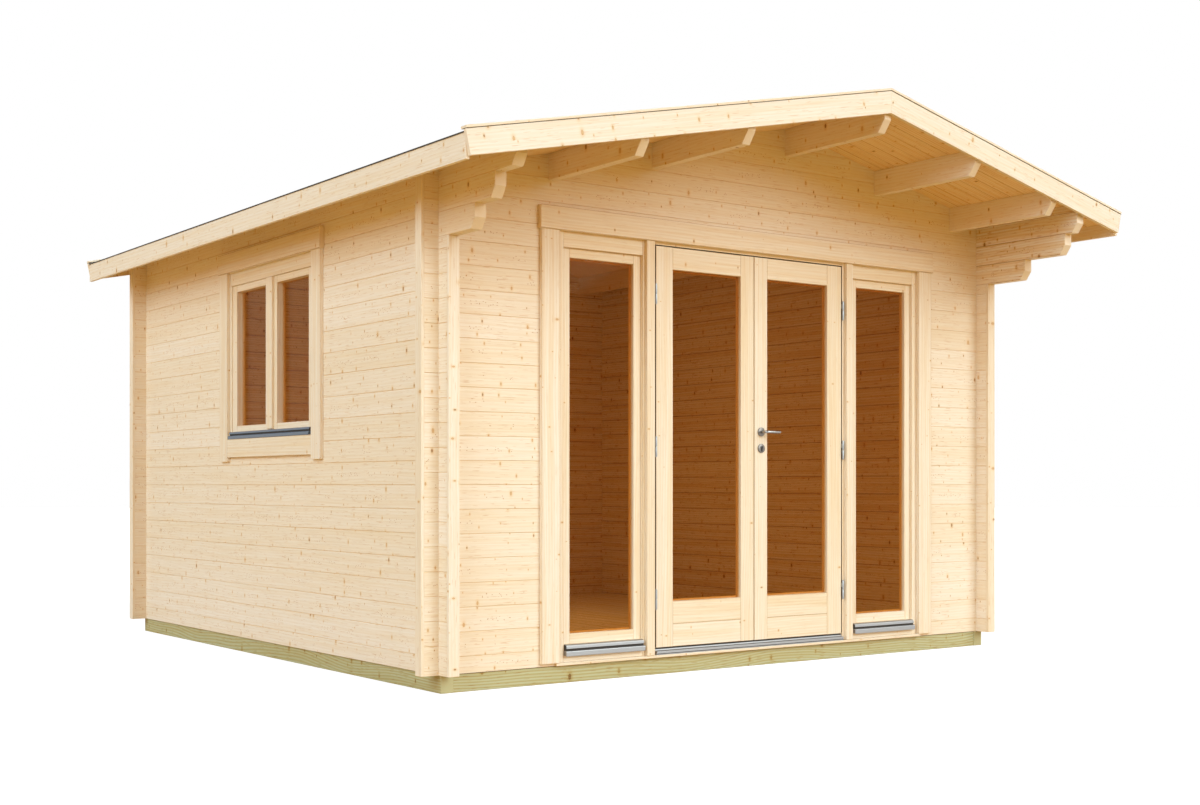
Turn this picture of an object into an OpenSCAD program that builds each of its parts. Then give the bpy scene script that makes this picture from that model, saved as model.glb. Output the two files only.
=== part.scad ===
// Garden chalet: log cabin on a beam frame, with a glazed double door,
// two side lights, a double window in the left wall and a purlin roof.
// Millimetres, +Z up. The front faces -Y. The origin is under the middle
// of the roof, on the ground.

/* [Log walls] */
// Outside width between the side wall faces
body_w = 3770; // [3400:10:5000]
// Outside depth between the front and back wall faces
body_d = 3865; // [3000:10:5000]
// Height of one wall log from joint to joint
log_h = 114; // [90:1:140]
// Thickness of a wall log
log_t = 58; // [44:1:80]
// Height of the first, cut-down log of the front, back and left walls
first_log_h = 79; // [50:1:114]
// Extra height at the foot of the right wall, which moves its joints up
right_log_shift = 57; // [0:1:57]
// Depth of the V groove along each log joint
groove = 4; // [2:0.5:8]
// How far the crossing log ends stand past the wall faces
log_end = 75; // [50:1:150]
// Height of the left wall above the door and window frames
wall_over = 216; // [180:1:300]

/* [Corbels] */
// How far the lowest left corbel stands out in front of the front wall
left_corbel_low = 318; // [200:1:400]
// How far the middle left corbel stands out
left_corbel_mid = 485; // [410:1:560]
// How far the top left corbel stands out
left_corbel_top = 654; // [570:1:700]
// How far the lowest right corbel stands out in front of the front wall
right_corbel_low = 360; // [200:1:450]
// How far the middle right corbel stands out
right_corbel_mid = 640; // [460:1:665]
// How far the top right corbel stands out
right_corbel_top = 722; // [670:1:725]
// Length of the slanted cut under each corbel end
corbel_run = 34; // [15:1:60]
// Height of the slanted cut under each corbel end
corbel_rise = 50; // [20:1:80]

/* [Foundation and floor] */
// Height of the treated foundation beams
beam_h = 86; // [60:1:120]
// Width of the foundation beams
beam_w = 68; // [50:1:90]
// How far the beams stand back from the wall faces
beam_inset = 12; // [0:1:20]
// Number of floor bearers between the end beams
bearer_count = 6; // [3:1:9]
// Width of one floor bearer
bearer_w = 45; // [35:1:70]
// Thickness of the floor boards
floor_t = 19; // [16:1:28]
// Gap between the floor boards and the walls
floor_gap = 6; // [2:1:15]

/* [Roof] */
// Place of the ridge, measured from the left wall face
ridge_x = 2182; // [1900:1:2450]
// Pitch of the left roof slope in degrees
left_pitch = 11.9; // [8:0.1:14]
// Pitch of the right roof slope in degrees
right_pitch = 12.8; // [8:0.1:15]
// Overhang of the eave past the left wall, fascia included
eave_left = 300; // [150:1:400]
// Overhang of the eave past the right wall, fascia included
eave_right = 292; // [150:1:450]
// Overhang of the roof in front of the front wall, bargeboard included
front_over = 755; // [750:1:900]
// Overhang of the roof behind the back wall, bargeboard included
back_over = 185; // [120:1:400]
// Thickness of the roof boards
roof_t = 19; // [16:1:28]
// Width of one roof board
roof_board_w = 96; // [70:1:140]
// Thickness of the insulation on the roof boards
insulation_t = 25; // [20:1:60]
// Thickness of the roofing felt
felt_t = 3; // [2:0.5:5]
// How far the felt turns down over the fascia
felt_lap = 4; // [3:1:40]
// Thickness of fascias and bargeboards
trim_t = 20; // [16:1:28]
// Height of the eave fascias
fascia_h = 115; // [90:1:150]
// Depth of the bargeboards, square to the slope
barge_h = 112; // [90:1:160]
// How far the bargeboard's top edge stands above the felt
barge_up = 6; // [2:1:25]
// How far the bargeboards run past the fascias
barge_past = 10; // [4:1:25]
// Width of the cover strip on the bargeboards
cap_w = 45; // [30:1:60]
// Thickness of the cover strip on the bargeboards
cap_t = 12; // [8:1:20]
// How far the cover strip stands past the bargeboard's face
cap_past = 4; // [0:1:10]

/* [Purlins] */
// Width of a purlin
purlin_w = 48; // [40:1:70]
// Depth of the side purlins
purlin_h = 132; // [110:1:160]
// Depth of the ridge purlin
ridge_purlin_h = 150; // [120:1:200]
// Length of the slanted cut under each purlin end
purlin_run = 44; // [20:1:70]
// Height of the slanted cut under each purlin end
purlin_rise = 62; // [30:1:80]
// Gap between the purlin ends and the back of the bargeboard
purlin_gap = 5; // [2:1:15]
// Number of purlins on each slope, between the wall and the ridge
purlin_count = 2; // [1:1:2]
// Distance between the left purlins, and from the left wall face
left_purlin_step = 635; // [500:1:720]
// Distance of the outer right purlin from the right wall face
right_purlin_edge = 272; // [200:1:400]
// Distance between the right purlins
right_purlin_step = 631; // [450:1:700]

/* [Corner boards] */
// Thickness of the cover boards on the log ends
corner_t = 16; // [12:1:25]
// Gap left under the roof by the side cover boards
corner_drop = 5; // [3:1:60]

/* [Front glazing] */
// Middle of the door and side lights, measured from the left wall face
front_x = 1926; // [1800:1:2050]
// Half the width of the two door leaves
door_half = 656; // [600:1:700]
// Width of the posts between the leaves and the side light sashes
post_w = 86; // [70:1:110]
// Face width of the side light sash
sash_w = 46; // [35:1:60]
// Height of the side light sash's bottom rail
sash_low = 50; // [35:1:80]
// Width of the side light glass
light_w = 392; // [300:1:450]
// Width of the frame that shows between the sash and the side casing
frame_edge = 34; // [25:1:60]
// Height of the frame's head over the door leaves
frame_head = 34; // [28:1:60]
// How far the casings lap over the frame
casing_lap = 19; // [10:1:24]
// Width of the front side casings
casing_w = 108; // [80:1:140]
// Thickness of casings and cover boards
casing_t = 20; // [14:1:28]
// Height of the head casings
head_casing_h = 113; // [90:1:140]
// Extra thickness of the head casings over the side casings
head_extra = 8; // [0:1:15]
// How far the head casings run past the side casings
head_past = 8; // [0:1:20]
// Gap on both sides of the board that covers each post
cover_gap = 14; // [8:1:20]
// Height of the side light sash's top below the top of the leaves
light_drop = 58; // [20:1:120]
// How far the sash face stands back from the frame face
sash_back = 16; // [8:1:25]
// Thickness of the side light sashes
sash_t = 40; // [34:1:44]
// How far the glass stands back from the face of its sash or leaf
glass_back = 14; // [8:1:16]
// Thickness of the glass panes
glass_t = 14; // [4:1:18]

/* [Door leaves] */
// Height of the lower edge of the leaves above the foundation
leaf_up = 50; // [48:1:80]
// Height of the leaves
leaf_h = 2042; // [1900:1:2100]
// Thickness of the leaves
leaf_t = 44; // [38:1:50]
// Gap round the leaves
leaf_gap = 5; // [5:1:8]
// How far the stop behind the leaves stands into the opening
stop_w = 12; // [8:1:20]
// Width of the outer stiles
stile_out = 110; // [80:1:130]
// Width of the meeting stiles
stile_in = 92; // [85:1:120]
// Height of the top rails
rail_top = 113; // [80:1:140]
// Height of the bottom rails, two boards
rail_low = 232; // [150:1:300]
// How far the meeting line stands right of the middle
meet_off = 8; // [-15:1:15]
// Height of the handle's axis above the lower edge of the leaves
handle_up = 1110; // [850:1:1150]
// Distance of the handle's axis from the edge of its leaf
handle_in = 46; // [40:1:60]
// Distance of the key plate below the handle's axis
key_down = 88; // [72:1:110]
// Length of the lever from its axis
lever_l = 100; // [85:1:150]
// Distance of the end hinges from the ends of the leaves
hinge_end = 245; // [150:1:400]

/* [Left window] */
// Middle of the window from the front wall face
win_y = 1858; // [1200:1:2600]
// Half the width between the outer edges of the two sashes
win_half = 537; // [480:1:620]
// Face width of the outer stiles
win_stile = 61; // [45:1:75]
// Half the width of the two meeting stiles together
win_meet_half = 76; // [55:1:85]
// Height of the window's top rails
win_top_rail = 38; // [28:1:75]
// Height of the window's bottom rails over the drip profile
win_low = 33; // [25:1:60]
// Height of the window's glass
win_glass_h = 778; // [600:1:850]
// Distance from the head casing down to the glass
win_top = 115; // [100:1:180]
// Width of the frame that shows between the sash and the side casing
win_edge = 20; // [14:1:40]
// Width of its side casings
win_casing_w = 112; // [80:1:130]
// Height of the board under the window
win_board_h = 107; // [80:1:140]
// How far the side casings run down past that board
win_casing_past = 24; // [0:1:50]
// Thickness of the window sashes
win_sash_t = 54; // [46:1:54]
// How far the window glass stands back from the face of its sash
win_glass_back = 34; // [14:1:36]

/* [Hidden] */
$fn = 48;

// Gap at the seats of fitted joinery and sloping boards
seat = 0.3;
// Extra reach of cutting shapes past the faces that they cut
past = 10;
far = 6000;

// Heights, from the ground up
leaf_z0 = beam_h + leaf_up;
leaf_z1 = leaf_z0 + leaf_h;
threshold_z = leaf_z0 - 37;
open_top = leaf_z1 + leaf_gap + frame_head;
head_z0 = open_top - casing_lap;
plate_z = open_top + wall_over;
slope_l = tan(left_pitch);
slope_r = tan(right_pitch);
ridge_z = plate_z + ridge_x * slope_l;

// Joint heights of the front, back and left walls, and of the log ends
joint0 = beam_h + first_log_h;
course_count = ceil((ridge_z - joint0) / log_h);
main_joints = [for (n = [0:course_count]) joint0 + n * log_h];
end_joints = [for (z = main_joints) z + log_h / 2];
// The lowest corbel lies three courses under the top of the left wall
corbel_z = joint0 + (floor((plate_z - joint0) / log_h) - 2) * log_h;

// Height of the roof boards' underside at a distance x from the left wall
function roof_under(x) = x < ridge_x ? ridge_z - (ridge_x - x) * slope_l
                                     : ridge_z - (x - ridge_x) * slope_r;
// Upright thickness of boards and insulation over that underside
board_top = roof_t / cos(right_pitch) + 2 * seat;
deck_top = board_top + insulation_t / cos(right_pitch);
felt_top = deck_top + seat + felt_t;
roof_x0 = -eave_left;
roof_x1 = body_w + eave_right;
roof_y0 = -front_over;
roof_y1 = body_d + back_over;
origin_x = (roof_x0 + roof_x1) / 2;
origin_y = (roof_y0 + roof_y1) / 2;
left_purlin_x = [for (i = [1:purlin_count]) i * left_purlin_step];
right_purlin_x = [for (i = [0:purlin_count - 1])
  body_w - right_purlin_edge - i * right_purlin_step];

// Half widths of the front glazing, from the middle out
light_in = door_half + post_w + sash_w;
light_out = light_in + light_w;
sash_in_edge = light_in - sash_w;
sash_out_edge = light_out + sash_w;
casing_in = sash_out_edge + frame_edge;
casing_half = casing_in + casing_w;
frame_half = casing_in + casing_lap;
frame_t = log_t + 4;
sash_z0 = leaf_z0 + 50;
sash_z1 = leaf_z1 - light_drop;
light_z0 = sash_z0 + sash_low;
light_z1 = sash_z1 - sash_w;
drip_h = 57;
casing_z0 = beam_h + 14;

// Door furniture
meet_x = front_x + meet_off;
meet_gap = leaf_gap;
hinge_r = 6.5;
hinge_pin_r = 3;
hinge_pin_l = 34;
hinge_y = -8;
hinge_x_off = door_half + 6;
hinge_half = 49;
hinge_zs = [leaf_z0 + hinge_end, (leaf_z0 + leaf_z1) / 2, leaf_z1 - hinge_end];
handle_x = meet_x + meet_gap / 2 + handle_in;
handle_z = leaf_z0 + handle_up;
key_z = handle_z - key_down;
rose_r = 26;
rose_t = 8;
neck_r = 8.5;
neck_l = 46;
spindle_r = 6;
lever_bore_r = 9;

// Left window, from the glass out
win_z1 = head_z0 - win_top;
win_z0 = win_z1 - win_glass_h;
win_sash_z0 = win_z0 - win_low;
win_sash_z1 = win_z1 + win_top_rail;
win_sash_back = 8;
win_drip_h = 43;
win_board_z1 = win_sash_z0 - win_drip_h;
win_casing_in = win_half + win_edge;
win_casing_half = win_casing_in + win_casing_w;
win_open_half = win_casing_in + casing_lap;
win_open_z0 = win_board_z1 - casing_lap;

wood = [0.93, 0.83, 0.66];
treated = [0.70, 0.70, 0.48];
metal = [0.70, 0.70, 0.72];
dark = [0.22, 0.20, 0.18];
pane = [0.75, 0.85, 0.85, 0.35];

module place() { translate([-origin_x, -origin_y, 0]) children(); }

// Box between two corners
module box(a, b) { translate(a) cube([b[0] - a[0], b[1] - a[1], b[2] - a[2]]); }

// Section through a log wall from z0 to z1, with a V groove on both faces
// at each joint; x runs through the thickness, y is the height
module log_section(z0, z1, joints) {
  js = [for (z = joints) if (z > z0 + groove && z < z1 - groove) z];
  polygon(concat(
    [[0, z0]],
    [for (z = js) each [[0, z - groove], [groove, z], [0, z + groove]]],
    [[0, z1], [log_t, z1]],
    [for (i = [len(js) - 1:-1:0])
      each [[log_t, js[i] + groove], [log_t - groove, js[i]], [log_t, js[i] - groove]]],
    [[log_t, z0]]));
}

// Logs running along X from x0 to x1, outer face at y
module logs_x(x0, x1, y, z0, z1, joints) {
  translate([x0, y, 0]) rotate([90, 0, 90]) linear_extrude(x1 - x0)
    log_section(z0, z1, joints);
}

// Logs running along Y from y0 to y1, outer face at x
module logs_y(y0, y1, x, z0, z1, joints) {
  translate([x, y1, 0]) rotate([90, 0, 0]) linear_extrude(y1 - y0)
    log_section(z0, z1, joints);
}

// Corner laps: the layers between z0 and z1, half a log high, in which the
// front and back logs run through the side walls; in the layers between
// them the side logs run through
module laps(x, y, z0, z1) {
  for (z = main_joints) {
    low = max(z0, z - log_h / 4);
    high = min(z1, z + log_h / 4);
    if (high > low + 1) box([x, y, low], [x + log_t, y + log_t, high]);
  }
}

// Everything under the roof boards
module under_roof() {
  x0 = roof_x0 - past;
  x1 = roof_x1 + past;
  translate([0, roof_y1 + past, 0]) rotate([90, 0, 0])
    linear_extrude(roof_y1 - roof_y0 + 2 * past)
      polygon([[x0, 0], [x0, roof_under(x0)], [ridge_x, ridge_z], [x1, roof_under(x1)], [x1, 0]]);
}

// Side view of a side wall above the floor beams: three stepped corbels under
// the front overhang, each cut slanting below, and a short one at the back
module side_outline(base, reach) {
  back = roof_y1 - trim_t - purlin_gap;
  high = base + 2 * log_h;
  polygon(concat(
    [[0, beam_h], [0, base]],
    [for (i = [0:2]) each [[corbel_run - reach[i], base + i * log_h],
      [-reach[i], base + i * log_h + corbel_rise],
      [-reach[i], i == 2 ? ridge_z : base + (i + 1) * log_h]]],
    [[back, ridge_z], [back, high + corbel_rise], [back - corbel_run, high],
     [body_d, high], [body_d, beam_h]]));
}

// A side wall with its log ends, stepped corbels and notched corners;
// shift moves its joints up
module side_wall(x, shift, reach) {
  joints = [for (z = main_joints) z + shift];
  ends = [for (z = end_joints) z + shift];
  base = corbel_z + shift;
  difference() {
    intersection() {
      union() {
        intersection() {
          logs_y(roof_y0, roof_y1, x, beam_h, ridge_z, joints);
          translate([x - past, 0, 0]) rotate([90, 0, 90]) linear_extrude(log_t + 2 * past)
            side_outline(base, reach);
        }
        logs_y(-log_end, 0, x, beam_h, base, ends);
        logs_y(body_d, body_d + log_end, x, beam_h, base + 2 * log_h, ends);
      }
      under_roof();
    }
    for (y = [0, body_d - log_t]) laps(x, y, beam_h, ridge_z);
  }
}

// Purlin with both lower ends cut slanting; its top follows the roof
module purlin(x, h) {
  y0 = roof_y0 + trim_t + purlin_gap;
  y1 = roof_y1 - trim_t - purlin_gap;
  z0 = roof_under(x) - h;
  intersection() {
    translate([x - purlin_w / 2, 0, 0]) rotate([90, 0, 90]) linear_extrude(purlin_w)
      polygon([[y0 + purlin_run, z0], [y0, z0 + purlin_rise], [y0, ridge_z + past],
               [y1, ridge_z + past], [y1, z0 + purlin_rise], [y1 - purlin_run, z0]]);
    under_roof();
  }
}

module all_purlins() {
  purlin(ridge_x, ridge_purlin_h);
  for (x = left_purlin_x) purlin(x, purlin_h);
  for (x = right_purlin_x) purlin(x, purlin_h);
}

// Logs of the front or back wall at and above the door head, with pockets for
// the purlins, lapped into both side walls and standing past them
module upper_wall(y, z0) {
  difference() {
    intersection() {
      union() {
        logs_x(log_t, body_w - log_t, y, z0, ridge_z, main_joints);
        for (x = [0, body_w - log_t]) laps(x, y, z0, ridge_z);
      }
      under_roof();
    }
    all_purlins();
  }
  logs_x(-log_end, 0, y, z0, roof_under(-log_end) - corner_drop, end_joints);
  logs_x(body_w, body_w + log_end, y, z0, roof_under(body_w + log_end) - corner_drop, end_joints);
}

// Roof boards of one slope: a sheet with V grooves along its underside
module roof_slope(x_eave, x_ridge, pitch) {
  run = abs(x_ridge - x_eave);
  y0 = roof_y0 + trim_t + seat;
  y1 = roof_y1 - trim_t - seat;
  n = ceil((y1 - y0) / roof_board_w) - 1;
  g = 3;
  intersection() {
    translate([x_ridge, 0, ridge_z + seat]) mirror([x_eave > x_ridge ? 0 : 1, 0, 0])
      rotate([0, pitch, 0]) translate([-30, 0, 0])
        rotate([90, 0, 90]) linear_extrude(run / cos(pitch) + 60)
          polygon(concat([[y0, 0]],
            [for (i = [1:n]) each [[y0 + i * roof_board_w - g, 0],
              [y0 + i * roof_board_w, g], [y0 + i * roof_board_w + g, 0]]],
            [[y1, 0], [y1, roof_t], [y0, roof_t]]));
    box([min(x_eave, x_ridge), roof_y0, 0], [max(x_eave, x_ridge), roof_y1, far]);
  }
}

// Section band between two heights over the roof underside, x0 to x1, along Y
module roof_band(x0, x1, lo, hi, y0, y1) {
  translate([0, y1, 0]) rotate([90, 0, 0]) linear_extrude(y1 - y0)
    polygon([[x0, roof_under(x0) + lo], [x1, roof_under(x1) + lo],
             [x1, roof_under(x1) + hi], [x0, roof_under(x0) + hi]]);
}

// Bargeboard outline of one slope, square-cut at the eave and plumb at the ridge
module barge_outline(side) {
  pitch = side < 0 ? left_pitch : right_pitch;
  x_end = side < 0 ? roof_x0 - barge_past : roof_x1 + barge_past;
  up = felt_top + barge_up;
  down = barge_h / cos(pitch) - up;
  x_low = x_end - side * barge_h * sin(pitch);
  polygon([[ridge_x, ridge_z + up], [x_end, roof_under(x_end) + up],
           [x_low, roof_under(x_low) - down], [ridge_x, ridge_z - down]]);
}

module bargeboards(side) {
  for (y = [roof_y0, roof_y1 - trim_t])
    translate([0, y + trim_t, 0]) rotate([90, 0, 0]) linear_extrude(trim_t)
      barge_outline(side);
}

// Cover strips of one slope, half a millimetre short of the ridge line
module slope_caps(side) {
  x_end = side < 0 ? roof_x0 - barge_past : roof_x1 + barge_past;
  x_top = ridge_x + side * 0.5;
  low = felt_top + barge_up + seat;
  for (y = [roof_y0 - cap_past, roof_y1 + cap_past - cap_w])
    roof_band(min(x_top, x_end), max(x_top, x_end), low, low + cap_t, y, y + cap_w);
}

// Rectangular ring in the XZ plane: outer corners, inner corners, y range
module ring_x(o0, o1, i0, i1, y0, y1) {
  difference() {
    box([o0[0], y0, o0[1]], [o1[0], y1, o1[1]]);
    box([i0[0], y0 - past, i0[1]], [i1[0], y1 + past, i1[1]]);
  }
}

// The same ring in the YZ plane
module ring_y(o0, o1, i0, i1, x0, x1) {
  difference() {
    box([x0, o0[0], o0[1]], [x1, o1[0], o1[1]]);
    box([x0 - past, i0[0], i0[1]], [x1 + past, i1[0], i1[1]]);
  }
}

// Mirrored pair about the middle of the front glazing
module both_sides() {
  children();
  translate([2 * front_x, 0, 0]) mirror([1, 0, 0]) children();
}

// Mirrored pair about the middle of the left window
module both_sashes() {
  children();
  translate([0, 2 * win_y, 0]) mirror([0, 1, 0]) children();
}

module foundation_side_beams() color(treated) place() {
  for (x = [beam_inset, body_w - beam_inset - beam_w])
    box([x, 0, 0], [x + beam_w, body_d, beam_h]);
}

end_beam_y = 4;
module foundation_end_beams() color(treated) place() {
  for (y = [end_beam_y, body_d - end_beam_y - beam_w])
    box([beam_inset + beam_w, y, 0], [body_w - beam_inset - beam_w, y + beam_w, beam_h]);
}

module floor_bearers() color(treated) place() {
  step = (body_d - 2 * end_beam_y - beam_w) / (bearer_count + 1);
  for (i = [1:bearer_count])
    translate([beam_inset + beam_w, end_beam_y + beam_w / 2 + i * step - bearer_w / 2, 0])
      cube([body_w - 2 * (beam_inset + beam_w), bearer_w, beam_h]);
}

module floor_boards() color(wood) place()
  box([log_t + floor_gap, log_t + floor_gap, beam_h],
      [body_w - log_t - floor_gap, body_d - log_t - floor_gap, beam_h + floor_t]);

module left_wall() color(wood) place() difference() {
  side_wall(0, 0, [left_corbel_low, left_corbel_mid, left_corbel_top]);
  box([-past, win_y - win_open_half, win_open_z0], [log_t + past, win_y + win_open_half, open_top]);
}

module right_wall() color(wood) place()
  side_wall(body_w - log_t, right_log_shift, [right_corbel_low, right_corbel_mid, right_corbel_top]);

module back_wall() color(wood) place() upper_wall(body_d - log_t, beam_h);

module front_gable() color(wood) place() upper_wall(0, open_top);

module front_wall_left() color(wood) place() {
  logs_x(log_t, front_x - frame_half, 0, beam_h, open_top, main_joints);
  laps(0, 0, beam_h, open_top);
  logs_x(-log_end, 0, 0, beam_h, open_top, end_joints);
}

module front_wall_right() color(wood) place() {
  logs_x(front_x + frame_half, body_w - log_t, 0, beam_h, open_top, main_joints);
  laps(body_w - log_t, 0, beam_h, open_top);
  logs_x(body_w, body_w + log_end, 0, beam_h, open_top, end_joints);
}

// Cover boards on the log ends, on all four corners
module corner_boards() color(wood) place() {
  for (right = [0, 1]) {
    x = right * (body_w - log_t);
    shift = right * right_log_shift;
    box([x, -log_end - corner_t, beam_h], [x + log_t, -log_end, corbel_z + shift]);
    box([x, body_d + log_end, beam_h],
        [x + log_t, body_d + log_end + corner_t, corbel_z + 2 * log_h + shift]);
    xo = right ? body_w + log_end : -log_end - corner_t;
    z = roof_under(right ? body_w + log_end + corner_t : -log_end - corner_t) - corner_drop;
    for (y = [0, body_d - log_t])
      box([xo, y, beam_h], [xo + corner_t, y + log_t, z]);
  }
}

module ridge_purlin() color(wood) place() purlin(ridge_x, ridge_purlin_h);

module left_purlins() color(wood) place() for (x = left_purlin_x) purlin(x, purlin_h);

module right_purlins() color(wood) place() for (x = right_purlin_x) purlin(x, purlin_h);

module left_roof_boards() color(wood) place()
  roof_slope(roof_x0 + trim_t + seat, ridge_x, left_pitch);

module right_roof_boards() color(wood) place()
  roof_slope(roof_x1 - trim_t - seat, ridge_x, right_pitch);

// Rigid insulation over the roof boards, one sheet a slope
module roof_insulation() color(dark) place() {
  y0 = roof_y0 + trim_t + seat;
  y1 = roof_y1 - trim_t - seat;
  roof_band(roof_x0 + trim_t + seat, ridge_x - 1, board_top, deck_top, y0, y1);
  roof_band(ridge_x + 1, roof_x1 - trim_t - seat, board_top, deck_top, y0, y1);
}

module roofing_felt() color(dark) place() {
  lo = deck_top + seat;
  hi = lo + felt_t;
  y0 = roof_y0 + trim_t + seat;
  y1 = roof_y1 - trim_t - seat;
  xa = roof_x0 - seat;
  xb = roof_x1 + seat;
  translate([0, y1, 0]) rotate([90, 0, 0]) linear_extrude(y1 - y0)
    polygon([
      [xa - felt_t, roof_under(xa) + lo - felt_lap], [xa, roof_under(xa) + lo - felt_lap],
      [xa, roof_under(xa) + lo], [ridge_x, ridge_z + lo], [xb, roof_under(xb) + lo],
      [xb, roof_under(xb) + lo - felt_lap], [xb + felt_t, roof_under(xb) + lo - felt_lap],
      [xb + felt_t, roof_under(xb + felt_t) + hi], [ridge_x, ridge_z + hi],
      [xa - felt_t, roof_under(xa - felt_t) + hi]]);
}

module eave_fascias() color(wood) place()
  for (side = [0, 1]) {
    x = side ? roof_x1 - trim_t : roof_x0;
    z1 = roof_under(side ? roof_x1 : roof_x0) + deck_top;
    box([x, roof_y0 + trim_t + seat, z1 - fascia_h], [x + trim_t, roof_y1 - trim_t - seat, z1]);
  }

module left_bargeboards() color(wood) place() bargeboards(-1);

module right_bargeboards() color(wood) place() bargeboards(1);

module barge_caps() color(wood) place() {
  slope_caps(-1);
  slope_caps(1);
}

// One frame round the door and both side lights, with two posts, and a stop
// behind the leaves
module door_frame() color(wood) place() {
  stop_y = leaf_t + leaf_gap;
  difference() {
    box([front_x - frame_half + seat, 0, threshold_z],
        [front_x + frame_half - seat, frame_t, open_top - seat]);
    box([front_x - door_half - leaf_gap, -past, 0],
        [front_x + door_half + leaf_gap, stop_y, leaf_z1 + leaf_gap]);
    box([front_x - door_half - leaf_gap + stop_w, -past, 0],
        [front_x + door_half + leaf_gap - stop_w, frame_t + past, leaf_z1 + leaf_gap - stop_w]);
    both_sides()
      box([front_x - sash_out_edge - seat, -past, sash_z0 - seat],
          [front_x - sash_in_edge + seat, frame_t + past, sash_z1 + seat]);
  }
}

// Metal threshold with a sloping top lip
module door_threshold() color(metal) place()
  translate([front_x - door_half - leaf_gap + seat, 0, 0]) rotate([90, 0, 90])
    linear_extrude(2 * (door_half + leaf_gap - seat))
      polygon([[-14, threshold_z], [leaf_t, threshold_z], [leaf_t, leaf_z0 - 8],
               [4, leaf_z0 - 8], [0, threshold_z + 22], [-14, threshold_z + 19]]);

module front_sill() color(wood) place()
  box([front_x - frame_half + seat, -16, beam_h], [front_x + frame_half - seat, log_t, threshold_z]);

module front_head_casing() color(wood) place()
  box([front_x - casing_half - head_past, -casing_t - head_extra, head_z0],
      [front_x + casing_half + head_past, 0, head_z0 + head_casing_h]);

// Upright boards beside the side lights and over the two posts
module front_side_casings() color(wood) place() both_sides() {
  box([front_x - casing_half, -casing_t, casing_z0], [front_x - casing_in, 0, head_z0]);
  box([front_x - sash_in_edge + cover_gap, -casing_t, casing_z0],
      [front_x - door_half - cover_gap, 0, head_z0]);
}

module side_light_sashes() color(wood) place() both_sides()
  ring_x([front_x - sash_out_edge, sash_z0], [front_x - sash_in_edge, sash_z1],
         [front_x - light_out, light_z0], [front_x - light_in, light_z1],
         sash_back, sash_back + sash_t);

// Fixed panes: both side lights and both window sashes
module fixed_glass() color(pane) place() {
  y = sash_back + glass_back;
  both_sides()
    box([front_x - light_out, y, light_z0], [front_x - light_in, y + glass_t, light_z1]);
  x = win_sash_back + win_glass_back;
  both_sashes()
    box([x, win_y + win_meet_half, win_z0], [x + glass_t, win_y + win_half - win_stile, win_z1]);
}

// Metal drip profile: a hood over a sill nose, section in the wall's depth
module drip_section(low, high) {
  mid = low + (high - low) * 0.45;
  polygon([[0, high], [-12, high - 3], [-22, mid + 5], [-22, mid + 1], [-14, mid + 1],
           [-14, mid - 3], [-24, mid - 5], [-24, low], [0, low]]);
}

module drip_profiles() color(metal) place() {
  both_sides()
    translate([front_x - sash_out_edge, 0, 0]) rotate([90, 0, 90])
      linear_extrude(sash_out_edge - sash_in_edge) drip_section(sash_z0 - drip_h, sash_z0);
  translate([0, win_y + win_half, 0]) rotate([90, 0, 0])
    linear_extrude(2 * win_half) drip_section(win_board_z1, win_sash_z0);
}

module window_frame() color(wood) place()
  ring_y([win_y - win_open_half + seat, win_open_z0 + seat],
         [win_y + win_open_half - seat, open_top - seat],
         [win_y - win_half - seat, win_sash_z0 - seat], [win_y + win_half + seat, win_sash_z1 + seat],
         0, frame_t);

// Two sashes, a few millimetres apart at their meeting stiles
module window_sashes() color(wood) place() both_sashes()
  ring_y([win_y + 2, win_sash_z0], [win_y + win_half, win_sash_z1],
         [win_y + win_meet_half, win_z0], [win_y + win_half - win_stile, win_z1],
         win_sash_back, win_sash_back + win_sash_t);

module window_head_casing() color(wood) place()
  box([-casing_t - head_extra, win_y - win_casing_half - head_past, head_z0],
      [0, win_y + win_casing_half + head_past, head_z0 + head_casing_h]);

module window_side_casings() color(wood) place() both_sashes()
  box([-casing_t, win_y + win_casing_in, win_board_z1 - win_board_h - win_casing_past],
      [0, win_y + win_casing_half, head_z0]);

module window_board() color(wood) place()
  box([-casing_t, win_y - win_casing_in, win_board_z1 - win_board_h],
      [0, win_y + win_casing_in, win_board_z1]);

// Strip over the joint of the two sashes
module window_cover_strip() color(wood) place()
  box([win_sash_back - 14, win_y - win_meet_half / 2, win_sash_z0 + 4],
      [win_sash_back, win_y + win_meet_half / 2, win_sash_z1 - 2]);

// Half of a barrel hinge from z0 to z1, with the small plate that holds it
// to the wood; plate is the side that the plate reaches to
module hinge_half_barrel(x, z0, z1, plate) {
  translate([x, hinge_y, z0]) cylinder(r = hinge_r, h = z1 - z0);
  px = plate > 0 ? x : x - 7;
  box([px, hinge_y, z0 + 8], [px + 7 + (plate > 0 ? 8 : 0), 0, z1 - 8]);
}

// Lower halves on the frame, each with the pin that the leaf is hung on
module frame_hinges() color(metal) place() both_sides()
  for (z = hinge_zs) {
    hinge_half_barrel(front_x - hinge_x_off, z - hinge_half, z - 1, -1);
    translate([front_x - hinge_x_off, hinge_y, z - 2]) cylinder(r = hinge_pin_r, h = hinge_pin_l);
  }

// Upper halves on the leaf, bored for the pins
module leaf_hinge_halves()
  for (z = hinge_zs) difference() {
    hinge_half_barrel(front_x - hinge_x_off, z + 1, z + hinge_half, 1);
    translate([front_x - hinge_x_off, hinge_y, z]) cylinder(r = hinge_pin_r + seat, h = hinge_pin_l);
  }

module left_leaf_hinges() color(metal) place() leaf_hinge_halves();

module right_leaf_hinges() color(metal) place()
  translate([2 * front_x, 0, 0]) mirror([1, 0, 0]) leaf_hinge_halves();

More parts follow.
